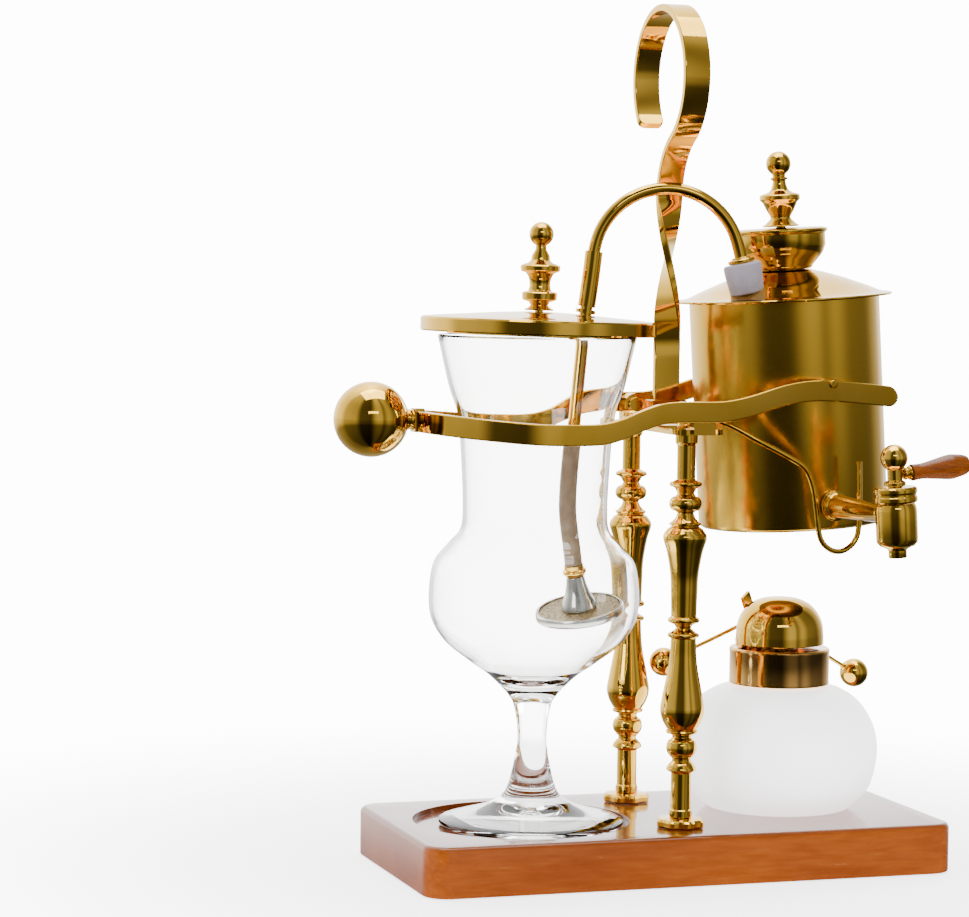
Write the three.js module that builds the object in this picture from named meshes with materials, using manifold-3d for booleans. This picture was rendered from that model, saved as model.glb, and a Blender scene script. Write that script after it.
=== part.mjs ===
// A balancing siphon coffee maker: a boiler and a counterweight on a rocking
// beam, a brewing glass, a spirit burner and a wooden base.
// Millimetres, +Z up, +X from the glass to the boiler, -Y to the front.
// The origin is the centre of the base's underside.
import * as THREE from "three";
import { mergeVertices } from "three/addons/utils/BufferGeometryUtils.js";
import Module from "manifold-3d";

const wasm = await Module();
wasm.setup();

// ---- Driving dimensions ----
const GAP = 0.3;
const BASE = { length: 290, depth: 138, height: 26, corner: 13, bevel: 3 };
const RECESS = { x: -74, radius: 56.9, depth: 3 };
const COLUMN = { y: 40, stud: 2.5, low: 10, top: 230, tip: 236.5 };
const BRIDGE = { x: 3.7, width: 27.4, halfSpan: 52, low: 230.3, high: 233.3 };
const PIVOT = { x: 4, z: 241.5, pin: 3 };
const LUG = { inner: 46, outer: 55, radius: 6 };
const HOOK = { x: 3.7, width: 14, thickness: 4, low: 236, bend: 351.8, radius: 36.5, tipTurn: -41 };
const BEAM = { y: 58, thickness: 3.5, height: 10.8, bendX: -75, end: 110, yokeHalf: 4 };
const TRUNNION = { x: 73, z: 257, radius: 2.1 };
const BALL = { x: -157.9, z: 236.5, radius: 19.6 };
const GLASS = { x: -68.5 };
const GLASS_LID = { x: -68, z: 280.8, radius: 61.5, tilt: 1.2, holeX: 25.5, holeRadius: 7.6 };
const BOILER = { radius: 50.5, wall: 0.5, low: -77, high: 43, lean: -3.7 };
const TAP = { turn: 2, z: -64, valve: 120.5, bodyRadius: 10.5 };
const ARCH = { x: -2.5, y: -14, z: 318.5, radius: 38.5, turn: 14.5, right: 12, left: 172 };
const TUBE = { radius: 3.3, bore: 2.3, depth: 196 };
const STOPPER = { z: 318.5, height: 15.5, top: 10, bottom: 9, spigot: 6.4, drop: 20 };
const FILTER = { x: -43.5, y: -2, z: 135.7, radius: 23.5, leanX: 12, leanY: 9 };
const WIRE = { radius: 1.45 };
const BURNER = { x: 74, y: 6 };
const HINGE = { x: 74, y: 36, z: 113, pin: 1.5 };
const YOKE = { rod: 1.1, ball: 7.8 };

// ---- Materials ----
function metal(color, roughness) {
  return new THREE.MeshStandardMaterial({ color, roughness, metalness: 1 });
}

function plain(color, roughness) {
  return new THREE.MeshStandardMaterial({ color, roughness, metalness: 0 });
}

const gold = metal(0xd0a23c, 0.12);
const satinGold = metal(0xc19a3a, 0.28);
const steel = metal(0xb9b6ae, 0.3);
const lacqueredWood = plain(0xa85a12, 0.15);
const turnedWood = plain(0xb4640f, 0.3);
const clearGlass = plain(0xeef2f0, 0.05);
const frostedGlass = plain(0xf6f4f6, 0.55);
const silicone = plain(0xb0a4b8, 0.5);
const hoseSilicone = plain(0xa08870, 0.4);
const cotton = plain(0xe9e2d2, 0.95);

// ---- Closed bodies ----
const radians = THREE.MathUtils.degToRad;

function signedVolume(geometry) {
  const position = geometry.attributes.position;
  const index = geometry.index;
  const a = new THREE.Vector3();
  const b = new THREE.Vector3();
  const c = new THREE.Vector3();
  let sum = 0;
  for (let i = 0; i < index.count; i += 3) {
    a.fromBufferAttribute(position, index.getX(i));
    b.fromBufferAttribute(position, index.getX(i + 1));
    c.fromBufferAttribute(position, index.getX(i + 2));
    sum += a.dot(b.cross(c));
  }
  return sum / 6;
}

// One closed body with shared corners, no empty triangles and its faces outward
function closed(source) {
  const bare = source.clone();
  bare.deleteAttribute("normal");
  bare.deleteAttribute("uv");
  bare.clearGroups();
  const geometry = mergeVertices(bare, 1e-4);
  const index = geometry.index;
  const kept = [];
  for (let i = 0; i < index.count; i += 3) {
    const corners = [index.getX(i), index.getX(i + 1), index.getX(i + 2)];
    if (new Set(corners).size === 3) {
      kept.push(...corners);
    }
  }
  geometry.setIndex(kept);
  if (signedVolume(geometry) < 0) {
    geometry.setIndex(kept.reverse());
  }
  return geometry;
}

function solidOf(geometry) {
  const body = closed(geometry);
  const mesh = new wasm.Mesh({
    numProp: 3,
    vertProperties: new Float32Array(body.attributes.position.array),
    triVerts: new Uint32Array(body.index.array),
  });
  return new wasm.Manifold(mesh);
}

function geometryOf(solid) {
  const mesh = solid.getMesh();
  const geometry = new THREE.BufferGeometry();
  geometry.setAttribute("position", new THREE.BufferAttribute(mesh.vertProperties, 3));
  geometry.setIndex(new THREE.BufferAttribute(mesh.triVerts, 1));
  return geometry;
}

function cut(geometry, ...tools) {
  let solid = solidOf(geometry);
  for (const tool of tools) {
    solid = solid.subtract(solidOf(tool));
  }
  return geometryOf(solid);
}

function join(geometry, ...others) {
  let solid = solidOf(geometry);
  for (const other of others) {
    solid = solid.add(solidOf(other));
  }
  return geometryOf(solid);
}

function common(first, second) {
  return geometryOf(solidOf(first).intersect(solidOf(second)));
}

// The same part on the other side of the middle plane
function mirrored(geometry) {
  return closed(geometry.clone().scale(1, -1, 1));
}

// ---- Basic forms ----

// [radius, height] pairs spun round the z axis
function turned(profile, sides = 24) {
  const points = profile.map(([radius, height]) => new THREE.Vector2(radius, height));
  const geometry = new THREE.LatheGeometry(points, sides);
  geometry.rotateX(Math.PI / 2);
  return closed(geometry);
}

function rod(radius, low, high, sides = 20) {
  return turned([[0, low], [radius, low], [radius, high], [0, high]], sides);
}

function ring(inner, outer, low, high, sides = 24) {
  return turned([[inner, low], [outer, low], [outer, high], [inner, high], [inner, low]], sides);
}

// Forms made along z, laid along another axis
function alongX(geometry) {
  return geometry.rotateY(Math.PI / 2);
}

function alongY(geometry) {
  return geometry.rotateX(-Math.PI / 2);
}

function towardFront(geometry) {
  return geometry.rotateX(Math.PI / 2);
}

function block(x0, x1, y0, y1, z0, z1) {
  const geometry = new THREE.BoxGeometry(x1 - x0, y1 - y0, z1 - z0);
  return geometry.translate((x0 + x1) / 2, (y0 + y1) / 2, (z0 + z1) / 2);
}

function roundedRectangle(length, depth, corner) {
  const x = length / 2 - corner;
  const y = depth / 2 - corner;
  const shape = new THREE.Shape();
  shape.absarc(x, y, corner, 0, Math.PI / 2);
  shape.absarc(-x, y, corner, Math.PI / 2, Math.PI);
  shape.absarc(-x, -y, corner, Math.PI, 1.5 * Math.PI);
  shape.absarc(x, -y, corner, 1.5 * Math.PI, 2 * Math.PI);
  return shape;
}

function extruded(shape, low, high, curveSegments = 6) {
  const options = { depth: high - low, bevelEnabled: false, curveSegments };
  return new THREE.ExtrudeGeometry(shape, options).translate(0, 0, low);
}

function smoothCurve(points) {
  return new THREE.CatmullRomCurve3(points, false, "centripetal");
}

// A round bar or, with a bore, a pipe along a curve
function swept(curve, radius, bore, sides, steps) {
  const outline = new THREE.Shape();
  outline.absarc(0, 0, radius, 0, 2 * Math.PI);
  if (bore > 0) {
    const hole = new THREE.Path();
    hole.absarc(0, 0, bore, 0, 2 * Math.PI);
    outline.holes.push(hole);
  }
  const options = { steps, extrudePath: curve, bevelEnabled: false, curveSegments: sides / 2 };
  return new THREE.ExtrudeGeometry(outline, options);
}

// A half-round swelling of a turned profile
function bead(low, high, root, crest) {
  const points = [];
  for (let turn = 0; turn <= 180; turn += 45) {
    const out = Math.sin(radians(turn));
    const part = (1 - Math.cos(radians(turn))) / 2;
    points.push([root + (crest - root) * out, low + (high - low) * part]);
  }
  return points;
}

// A smooth stretch of a turned profile through a few points
function flowing(pairs, steps) {
  const curve = new THREE.SplineCurve(pairs.map(([x, y]) => new THREE.Vector2(x, y)));
  return curve.getPoints(steps).map((point) => [point.x, point.y]);
}

// The ball that ends a turned profile, from its neck to its top
function ballEnd(neck, radius, centre) {
  const first = Math.asin(neck / radius);
  const points = [];
  for (let i = 0; i < 7; i += 1) {
    const turn = first + ((Math.PI - first) * i) / 7;
    points.push([radius * Math.sin(turn), centre - radius * Math.cos(turn)]);
  }
  points.push([0, centre + radius]);
  return points;
}

function ball(radius, x, y, z, sides = 18) {
  const sphere = new THREE.SphereGeometry(radius, sides, Math.round(sides / 1.5));
  return sphere.rotateX(Math.PI / 2).translate(x, y, z);
}

// ---- The assembly ----
const maker = new THREE.Group();

function add(name, geometry, material) {
  const mesh = new THREE.Mesh(closed(geometry), material);
  mesh.name = name;
  maker.add(mesh);
}

// ---- Base and columns ----
function baseBoard() {
  const inset = BASE.bevel;
  const shape = roundedRectangle(BASE.length - 2 * inset, BASE.depth - 2 * inset, BASE.corner - inset);
  const board = new THREE.ExtrudeGeometry(shape, {
    depth: BASE.height,
    bevelThickness: inset,
    bevelSize: inset,
    bevelSegments: 2,
    curveSegments: 5,
  });
  board.translate(0, 0, -inset);
  const below = block(-BASE.length, BASE.length, -BASE.depth, BASE.depth, -20, 0);
  const recess = rod(RECESS.radius, BASE.height - RECESS.depth, BASE.height + 5, 48);
  const tools = [below, recess.translate(RECESS.x, 0, 0)];
  for (const y of [-COLUMN.y, COLUMN.y]) {
    const hole = rod(COLUMN.stud + GAP, COLUMN.low - GAP, BASE.height + 1, 12);
    tools.push(hole.translate(0, y, 0));
  }
  return cut(board, ...tools);
}

// A turned column with a threaded stud at each end
function column() {
  const { stud, low, top, tip } = COLUMN;
  const profile = [
    [0, low], [stud, low], [stud, 31.3], [5.9, 31.3], [5.9, 34.8], [5.3, 35.4],
    [5.3, 54.4], [7.9, 56], [7.2, 58.4], [4.9, 60.5], [4.9, 62], ...bead(63.3, 71.5, 5.2, 8),
    [4.9, 73], [8.2, 75], [8.2, 77],
    ...flowing([[8, 77.6], [10.3, 81.8], [11.5, 87], [10.5, 94.3], [7.4, 111], [6.5, 124.6]], 7),
    [8.2, 125.2], [8.2, 127], [3.8, 129.9], [8.2, 133], [8.2, 135.2],
    ...flowing([[6.6, 136], [6.9, 147], [7.4, 158], [9.3, 169.3], [11.4, 177], [9.3, 181.2]], 7),
    [7.2, 182.6], [8.3, 183.4], [8.3, 184.4], [5.2, 187], [4.2, 189.6],
    ...bead(190.6, 198.2, 4.8, 8.5), [4.3, 199.8], [5.6, 202.3], [8.5, 203.6], [8.5, 205.4],
    [4.8, 207], [4.8, 224.8], [5.8, 226], [5.8, top], [stud, top], [stud, tip], [0, tip],
  ];
  return turned(profile, 12);
}

function columnFoot() {
  const foot = turned([[0, 26.3], [12.9, 26.3], [12.9, 29.6], [11.6, 31], [0, 31]], 8);
  return cut(foot, rod(COLUMN.stud + GAP, 20, 40, 12));
}

// A domed nut, blind at the top
function capNut() {
  const low = BRIDGE.high + GAP;
  const dome = turned([[0, low], [5, low], [5, low + 2.6], [3.8, low + 4.6], [0, low + 5.4]], 12);
  return cut(dome, rod(COLUMN.stud + GAP, low - 1, COLUMN.tip + GAP, 12));
}

function bridge() {
  const shape = roundedRectangle(BRIDGE.width, 2 * BRIDGE.halfSpan, 7);
  const plate = extruded(shape, BRIDGE.low, BRIDGE.high).translate(BRIDGE.x, 0, 0);
  const middle = (LUG.inner + LUG.outer) / 2;
  const half = (LUG.outer - LUG.inner) / 2;
  const additions = [];
  const holes = [];
  for (const side of [-1, 1]) {
    const y = side * middle;
    const stalk = block(-LUG.radius, LUG.radius, y - half, y + half, 231, PIVOT.z);
    additions.push(stalk.translate(PIVOT.x, 0, 0));
    additions.push(alongY(rod(LUG.radius, -half, half)).translate(PIVOT.x, y, PIVOT.z));
    holes.push(alongY(rod(PIVOT.pin + GAP, -9, 9)).translate(PIVOT.x, y, PIVOT.z));
    holes.push(rod(COLUMN.stud + GAP, 225, 240, 12).translate(0, side * COLUMN.y, 0));
  }
  return cut(join(plate, ...additions), ...holes);
}

// ---- Carrying hook ----

// The strap's centre line: upright, swung to the front, then round in a loop
function hookLine() {
  const { low, bend, radius } = HOOK;
  const rise = 2 * radius * Math.sin(radians(60));
  const arc = (y, z, from, to) => {
    const points = [];
    for (let i = 0; i <= 24; i += 1) {
      const angle = radians(from + ((to - from) * i) / 24);
      points.push(new THREE.Vector3(0, y + radius * Math.cos(angle), z + radius * Math.sin(angle)));
    }
    return new THREE.CatmullRomCurve3(points);
  };
  const curve = new THREE.CurvePath();
  curve.add(new THREE.LineCurve3(new THREE.Vector3(0, 0, low), new THREE.Vector3(0, 0, bend)));
  curve.add(arc(-radius, bend, 0, 60));
  curve.add(arc(0, bend + rise, 240, HOOK.tipTurn));
  return curve;
}

// The flat strap makes half a turn about itself on its way up
function carryHook() {
  const curve = hookLine();
  const length = curve.getLength();
  const strap = new THREE.BoxGeometry(HOOK.width, HOOK.thickness, length, 1, 1, 60);
  const position = strap.attributes.position;
  const sideways = new THREE.Vector3(1, 0, 0);
  for (let i = 0; i < position.count; i += 1) {
    const distance = THREE.MathUtils.clamp(position.getZ(i) + length / 2, 0, length);
    const centre = curve.getPointAt(distance / length);
    const tangent = curve.getTangentAt(Math.min(distance / length, 0.9999));
    const across = new THREE.Vector3().crossVectors(tangent, sideways).normalize();
    const twist = -Math.PI * THREE.MathUtils.clamp((HOOK.low + distance - 270) / 82, 0, 1);
    const fromTip = Math.min((length - distance) / 4, 1);
    const wide = position.getX(i) * (0.5 + 0.5 * Math.sqrt(1 - (1 - fromTip) ** 2));
    const thick = position.getY(i);
    centre.addScaledVector(sideways, wide * Math.cos(twist) - thick * Math.sin(twist));
    centre.addScaledVector(across, wide * Math.sin(twist) + thick * Math.cos(twist));
    position.setXYZ(i, centre.x + HOOK.x, centre.y, centre.z);
  }
  return strap;
}

function hookFoot() {
  const foot = block(-9.5, 9.5, -6, 6, BRIDGE.high + GAP, 246);
  const x = HOOK.width / 2 + GAP;
  const y = HOOK.thickness / 2 + GAP;
  return cut(foot, block(-x, x, -y, y, HOOK.low - GAP, 260)).translate(HOOK.x, 0, 0);
}

// A bent wire that keeps the tap's stem from swinging sideways
function stayWire() {
  const points = [
    [PIVOT.x + LUG.radius + GAP, -50, 238], [13, -50.3, 237.6], [21, -52.5, 234.4],
    [33, -57, 227.5], [48, -61, 219.5], [57, -62, 213.5], [61.5, -62, 204],
    [63.5, -62, 194], [65.1, -62, 182],
    [67.5, -62, 175.3], [72, -62, 171.4], [76.5, -62, 170.3], [81, -62, 171.4], [85.5, -62, 175.3],
    [87.8, -62, 182], [88, -62, 199], [87.5, -62, 217],
  ];
  const curve = smoothCurve(points.map((point) => new THREE.Vector3(...point)));
  return swept(curve, WIRE.radius, 0, 6, 34);
}

// ---- Brewing glass ----
function brewingGlass() {
  const outer = [
    [0, 23.4], [47, 23.4], [48.5, 24.4], [48.3, 26.5],
    ...flowing([[40, 28.5], [27, 32.4], [18.2, 36.8], [13, 42.6], [9.4, 56], [7.6, 69.5], [9.4, 84.8]], 7),
    ...flowing([[13.3, 92.5], [22.9, 102.2], [33.4, 109.7], [47.4, 121.2], [54.7, 136.4]], 5),
    ...flowing([[55.2, 143], [53.2, 159.5], [45.4, 170.7], [39.1, 178.3], [37.8, 189.9]], 5),
    [39.1, 218.3], [41.2, 239], [45.9, 253.5], [52, 280],
  ];
  const inner = [
    [50, 280], [44, 254.2], [39.2, 239.3], [37.1, 218.4],
    ...flowing([[35.8, 189.9], [37, 177.6], [43.4, 169.5], [51, 158.9], [53.1, 143]], 5),
    ...flowing([[52.6, 136.4], [45.6, 122.4], [32, 111.5], [20, 103.6], [0, 99.5]], 5),
  ];
  return turned([...outer, ...inner], 24).translate(GLASS.x, 0, 0);
}

function placedGlassLid(geometry) {
  return geometry.rotateY(radians(GLASS_LID.tilt)).translate(GLASS_LID.x, 0, GLASS_LID.z);
}

function glassLid() {
  const radius = GLASS_LID.radius;
  const profile = [
    [2.6, 10.4], [40, 8], [46.8, 7.4], [46.8, -1], [47.8, -1], [47.8, 0.9], [53.4, 0.9], [53.4, 6.7],
    [radius - 1.5, 6.1], [radius - 1.5, 0], [radius - 0.5, 0], [radius, 0.6], [radius, 6.8],
    [radius - 0.9, 7.5], [40, 9.3], [2.6, 11.7], [2.6, 10.4],
  ];
  const hole = rod(GLASS_LID.holeRadius, -10, 30, 24).translate(GLASS_LID.holeX, -3.8, 0);
  return cut(turned(profile, 28), hole);
}

function lidKnob() {
  const profile = [
    [0, 5.4], [2.2, 5.4], [2.2, 12], [7.5, 12], [6, 13.6], [3.4, 15.6], [4.4, 17.4], [9.2, 19.2], [9.2, 21],
    [4.2, 24], [3.2, 28.4], [5, 31.6], [10.2, 33.6], [10.2, 35.6], [4.6, 38.4], [3, 42], [2.8, 45.8],
    ...ballEnd(2.8, 6.4, 51.6),
  ];
  return turned(profile, 16);
}

function addFrame() {
  add("base_board", baseBoard(), lacqueredWood);
  for (const [name, y] of [["front", -COLUMN.y], ["rear", COLUMN.y]]) {
    add(`column_${name}`, column().translate(0, y, 0), gold);
    add(`column_foot_${name}`, columnFoot().translate(0, y, 0), gold);
    add(`cap_nut_${name}`, capNut().translate(0, y, 0), gold);
  }
  add("bridge", bridge(), gold);
  add("hook_foot", hookFoot(), gold);
  add("carry_hook", carryHook(), gold);
  add("stay_wire", stayWire(), gold);
  add("glass_goblet", brewingGlass(), clearGlass);
  add("glass_lid", placedGlassLid(glassLid()), gold);
  add("lid_knob", placedGlassLid(lidKnob()), gold);
  add("lid_nut", placedGlassLid(ring(2.9, 6, 6.4, 9.9, 6)), gold);
}

// ---- Rocking beam and counterweight ----

// Height of the bar's middle over x: low round the glass, high at the boiler
function beamLine() {
  const points = [
    [-140, 236.4], [-133, 235.4], [-112, 233.3], [-88, 231.4], [-68, 231], [-53, 231.4], [-42, 234],
    [-32, 238], [-22, 241.3], [-12, 242.5], [10, 242.6], [20, 243.8], [30, 246.2], [47, 251.2],
    [62.7, 253.4], [81, 252.8], [BEAM.end - BEAM.height / 2, 250.6],
  ];
  return new THREE.SplineCurve(points.map(([x, z]) => new THREE.Vector2(x, z))).getPoints(32);
}

// The side view of the bar, drawn over x and z and pushed through y
function beamSide() {
  const half = BEAM.height / 2;
  const middle = beamLine();
  const last = middle[middle.length - 1];
  const shape = new THREE.Shape();
  shape.moveTo(middle[0].x, middle[0].y - half);
  for (const point of middle.slice(1)) {
    shape.lineTo(point.x, point.y - half);
  }
  shape.absarc(last.x, last.y, half, -Math.PI / 2, Math.PI / 2);
  for (const point of middle.reverse()) {
    shape.lineTo(point.x, point.y + half);
  }
  return towardFront(extruded(shape, -70, 70, 5));
}

// The front bar in plan: a quarter round about the glass, then straight
function beamPlan() {
  const outer = BEAM.y + BEAM.thickness / 2;
  const inner = BEAM.y - BEAM.thickness / 2;
  const shape = new THREE.Shape();
  shape.moveTo(BEAM.bendX - inner, 0);
  shape.lineTo(BEAM.bendX - outer, 0);
  shape.absarc(BEAM.bendX, 0, outer, Math.PI, 1.5 * Math.PI);
  shape.lineTo(BEAM.end + 9, -outer);
  shape.lineTo(BEAM.end + 9, -inner);
  shape.absarc(BEAM.bendX, 0, inner, 1.5 * Math.PI, Math.PI, true);
  return extruded(shape, 215, 275, 12);
}

function beamArm() {
  const arm = common(beamPlan(), beamSide());
  const inner = BEAM.y - BEAM.thickness / 2;
  const half = TRUNNION.radius + GAP;
  const seat = alongY(rod(half, -80, -40)).translate(TRUNNION.x, 0, TRUNNION.z);
  const mouth = block(-half, half, -80, -40, 0, 9).translate(TRUNNION.x, 0, TRUNNION.z);
  const pinHole = alongY(rod(PIVOT.pin + GAP, -inner - 2, -inner + 1)).translate(PIVOT.x, 0, PIVOT.z);
  const yoke = block(-150, -120, -BEAM.yokeHalf - GAP, 10, 200, 280);
  return cut(arm, seat, mouth, pinHole, yoke);
}

function yokeBlock() {
  const seat = BEAM.bendX - BEAM.y;
  const half = BEAM.yokeHalf;
  const body = block(seat - 2.6, seat + 2.6, -half, half, BALL.z - 6.6, BALL.z + 5.6);
  const bore = alongX(rod(2 + GAP, seat - 5, seat + 1.4, 12)).translate(0, 0, BALL.z);
  return cut(body, bore);
}

function counterweight() {
  const seat = BEAM.bendX - BEAM.y - 2.6;
  const neck = alongX(rod(5, BALL.x + 10, seat - GAP)).translate(0, 0, BALL.z);
  const stud = alongX(rod(2, BALL.x, seat + 3.6, 12)).translate(0, 0, BALL.z);
  return join(ball(BALL.radius, BALL.x, 0, BALL.z, 20), neck, stud);
}

// The pin is fixed in the arm and turns in the bridge's lug
function pivotPin() {
  const { pin } = PIVOT;
  const profile = [[0, 44.5], [3.9, 44.5], [3.9, 45.6], [pin, 45.6], [pin, 57.9], [0, 57.9]];
  return alongY(turned(profile, 20)).translate(PIVOT.x, 0, PIVOT.z);
}

function addBeam() {
  add("beam_arm_front", beamArm(), gold);
  add("beam_arm_rear", mirrored(beamArm()), gold);
  add("beam_yoke_block", yokeBlock(), gold);
  add("counterweight_ball", counterweight(), gold);
  add("pivot_pin_front", mirrored(pivotPin()), gold);
  add("pivot_pin_rear", pivotPin(), gold);
}

// ---- Boiler ----

// From the boiler's own frame, upright about its trunnions, to its lean
function onBoiler(geometry) {
  return geometry.rotateY(radians(BOILER.lean)).translate(TRUNNION.x, 0, TRUNNION.z);
}

// From the assembly back to the boiler's own frame
function fromBoiler(geometry) {
  return geometry.translate(-TRUNNION.x, 0, -TRUNNION.z).rotateY(radians(-BOILER.lean));
}

function tapPlaced(geometry) {
  return onBoiler(geometry.rotateZ(radians(TAP.turn)));
}

function boilerShell() {
  const { radius, wall, low, high } = BOILER;
  const profile = [
    [0, low], [radius - 2.5, low], [radius - 0.7, low + 0.8], [radius, low + 2.5], [radius, high],
    [radius - wall, high], [radius - wall, low + 3], [radius - 2.7, low + wall + 0.2], [0, low + wall],
  ];
  const holes = [alongY(rod(TRUNNION.radius + GAP, -60, -40)), alongY(rod(TRUNNION.radius + GAP, 40, 60))];
  const tapHole = towardFront(rod(3 + GAP, 40, 60)).translate(0, 0, TAP.z).rotateZ(radians(TAP.turn));
  return cut(turned(profile, 32), ...holes, tapHole);
}

const LID_TOP = [[12.3, 58.5], [22, 56.6], [33, 53], [44, 48.6], [51, 45.4], [57.4, 44.3]];

function boilerLid() {
  const under = [
    [57.4, 43.5], [49.4, 43.5], [49.4, 40], [48.8, 40], [48.8, 45.8],
    [44, 48], [33, 52.4], [22, 56], [12.3, 57.9], [12.3, 58.5],
  ];
  const hole = fromBoiler(onRightLeg(rod(STOPPER.spigot + GAP, -STOPPER.drop - 20, 0)));
  return cut(turned([...LID_TOP, ...under], 32), hole);
}

// A headed pin through the shell's wall, from inside to beyond the arm
function trunnion() {
  const { radius } = TRUNNION;
  const profile = [[0, 46.6], [5, 46.6], [5, 49.2], [radius, 49.2], [radius, 60.6], [0, 60.6]];
  return alongY(turned(profile, 20));
}

// ---- Siphon ----

// A point of the siphon's upright plane
function siphonPoint(along, z) {
  const turn = radians(ARCH.turn);
  return new THREE.Vector3(ARCH.x + along * Math.cos(turn), ARCH.y - along * Math.sin(turn), z);
}

function archPoint(turn) {
  const angle = radians(turn);
  return siphonPoint(ARCH.radius * Math.cos(angle), ARCH.z + ARCH.radius * Math.sin(angle));
}

// A form made down the z axis, moved to the siphon's right leg at the stopper's top
function onRightLeg(geometry) {
  const start = archPoint(ARCH.right);
  const angle = radians(ARCH.right);
  const drop = (start.z - STOPPER.z) / Math.cos(angle);
  const along = ARCH.radius * Math.cos(angle) + drop * Math.sin(angle);
  const top = siphonPoint(along, STOPPER.z);
  return geometry.rotateY(-angle).rotateZ(-radians(ARCH.turn)).translate(top.x, top.y, top.z);
}

// From deep in the boiler, over the arch and down through the glass's lid
function siphonLine() {
  const points = [];
  const angle = radians(ARCH.right);
  for (const drop of [TUBE.depth - 66, 60, 30, 15]) {
    const along = ARCH.radius * Math.cos(angle) + drop * Math.sin(angle);
    points.push(siphonPoint(along, archPoint(ARCH.right).z - drop * Math.cos(angle)));
  }
  for (let turn = ARCH.right; turn <= ARCH.left; turn += 16) {
    points.push(archPoint(turn));
  }
  points.push(...[[-40.8, 311], [-42.2, 300], [-43.6, 288], [-45.8, 262]].map(legPoint));
  points.push(...[[-48, 236], [-49.9, 214]].map(legPoint));
  return points;
}

function legPoint([x, z]) {
  const along = (x - ARCH.x) / Math.cos(radians(ARCH.turn));
  return siphonPoint(along, z);
}

function siphonTube() {
  return swept(smoothCurve(siphonLine()), TUBE.radius, TUBE.bore, 8, 36);
}

// A sleeve about the siphon's left leg, from a height down its straight stretch
function sleeve() {
  const top = archPoint(ARCH.left);
  const points = [top, ...[[-40.8, 311], [-42.2, 300], [-42.9, 295]].map(legPoint)];
  return swept(smoothCurve(points), 4.65, TUBE.radius + 2 * GAP, 12, 6);
}

function stopper() {
  const { height, top, bottom, spigot, drop } = STOPPER;
  const foot = -height - 5;
  const bodyProfile = [[0, foot], [bottom, foot], [bottom, -height], [top, -1.4], [top - 1, 0], [0, 0]];
  const lidTop = LID_TOP.toReversed().map(([r, z]) => [r, z + GAP]);
  const lidFill = turned([[0, 20], [57.4, 20], ...lidTop, [0, 59]], 48);
  const body = cut(fromBoiler(onRightLeg(turned(bodyProfile, 24))), lidFill);
  const stem = fromBoiler(onRightLeg(rod(spigot, -drop, -4, 20)));
  const bore = fromBoiler(onRightLeg(rod(TUBE.radius + GAP, -60, 20, 16)));
  return onBoiler(cut(join(body, stem), bore));
}

// ---- Filter ----
function onFilter(geometry) {
  const leant = geometry.rotateX(radians(FILTER.leanY)).rotateY(-radians(FILTER.leanX));
  return leant.translate(FILTER.x, FILTER.y, FILTER.z);
}

function filterDish() {
  const { radius } = FILTER;
  const profile = [
    [3.4, -2.3], [radius - 1, -2.3], [radius, -1.4], [radius, 1.6], [radius - 0.8, 2.4],
    [radius - 1.8, 2.4], [radius - 1.8, 0.6], [3.4, 0.6], [3.4, -2.3],
  ];
  return turned(profile, 24);
}

function filterStem() {
  const pipe = 3;
  const profile = [
    [1.8, -2], [pipe, -2], [pipe, 2.1], [9.5, 2.1], [8.6, 6], [5.2, 15.8], [4.6, 19.4],
    [pipe, 19.4], [pipe, 38], [1.8, 38], [1.8, -2],
  ];
  return turned(profile, 20);
}

function hoseCoupling() {
  const profile = [[3.3, 19.8], [5, 19.8], [6.2, 21.4], [6.2, 23], [5, 24], [5, 26], [3.3, 26], [3.3, 19.8]];
  return turned(profile, 20);
}

function hose() {
  const foot = (height) => {
    const point = new THREE.BufferGeometry().setFromPoints([new THREE.Vector3(0, 0, height)]);
    return new THREE.Vector3().fromBufferAttribute(onFilter(point).attributes.position, 0);
  };
  const points = [
    foot(26.4), foot(33), foot(40), new THREE.Vector3(-52.5, -6, 188), new THREE.Vector3(-51.5, -3.6, 201),
    legPoint([-49.9, 214]), legPoint([-48.95, 225]),
  ];
  return swept(smoothCurve(points), 4.6, TUBE.radius + 2 * GAP, 8, 12);
}

// ---- Tap, in the boiler's own frame before it is placed ----
function tapFlange() {
  const profile = [
    [3.3, 50.9], [8, 50.9], [8, 52.4], [6.9, 53], [6.9, 54.4], [5.8, 55.4], [3.3, 55.4], [3.3, 50.9],
  ];
  return towardFront(turned(profile, 24)).translate(0, 0, TAP.z);
}

function tapStem() {
  const end = TAP.valve - TAP.bodyRadius - GAP;
  const profile = [
    [1.8, 47], [3, 47], [3, 55.7], [6.3, 55.7], [6.3, 58], [4.6, end - 4], [5.4, end - 3], [5.4, end],
    [1.8, end], [1.8, 47],
  ];
  return towardFront(turned(profile, 20)).translate(0, 0, TAP.z);
}

function tapBody() {
  const r = TAP.bodyRadius;
  const profile = [
    [0, -85], [4.6, -85], [4.6, -80.6], [6, -80], [r - 1, -78.4], [r, -76.6], [r, -60],
    [r - 1, -57.5], [0, -57.5],
  ];
  const plugBore = rod(3.7, -75, -50, 16);
  const outlet = rod(2, -90, -70, 12);
  const inlet = towardFront(rod(1.8, -20, 1, 12)).translate(0, 0, TAP.z);
  inlet.rotateZ(Math.PI);
  return cut(turned(profile, 20), plugBore, outlet, inlet).translate(0, -TAP.valve, 0);
}

function tapPlug() {
  const profile = [
    [0, -74.6], [3.4, -74.6], [3.4, -48.7], [5.4, -48.7], [5.4, -47], [3.8, -46], [3.8, -41],
    ...ballEnd(3.8, 6.85, -34.8),
  ];
  return turned(profile, 16).translate(0, -TAP.valve, 0);
}

function leverPlaced(geometry) {
  return alongX(geometry).rotateY(radians(-3.5)).translate(0, -TAP.valve, -43.4);
}

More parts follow.
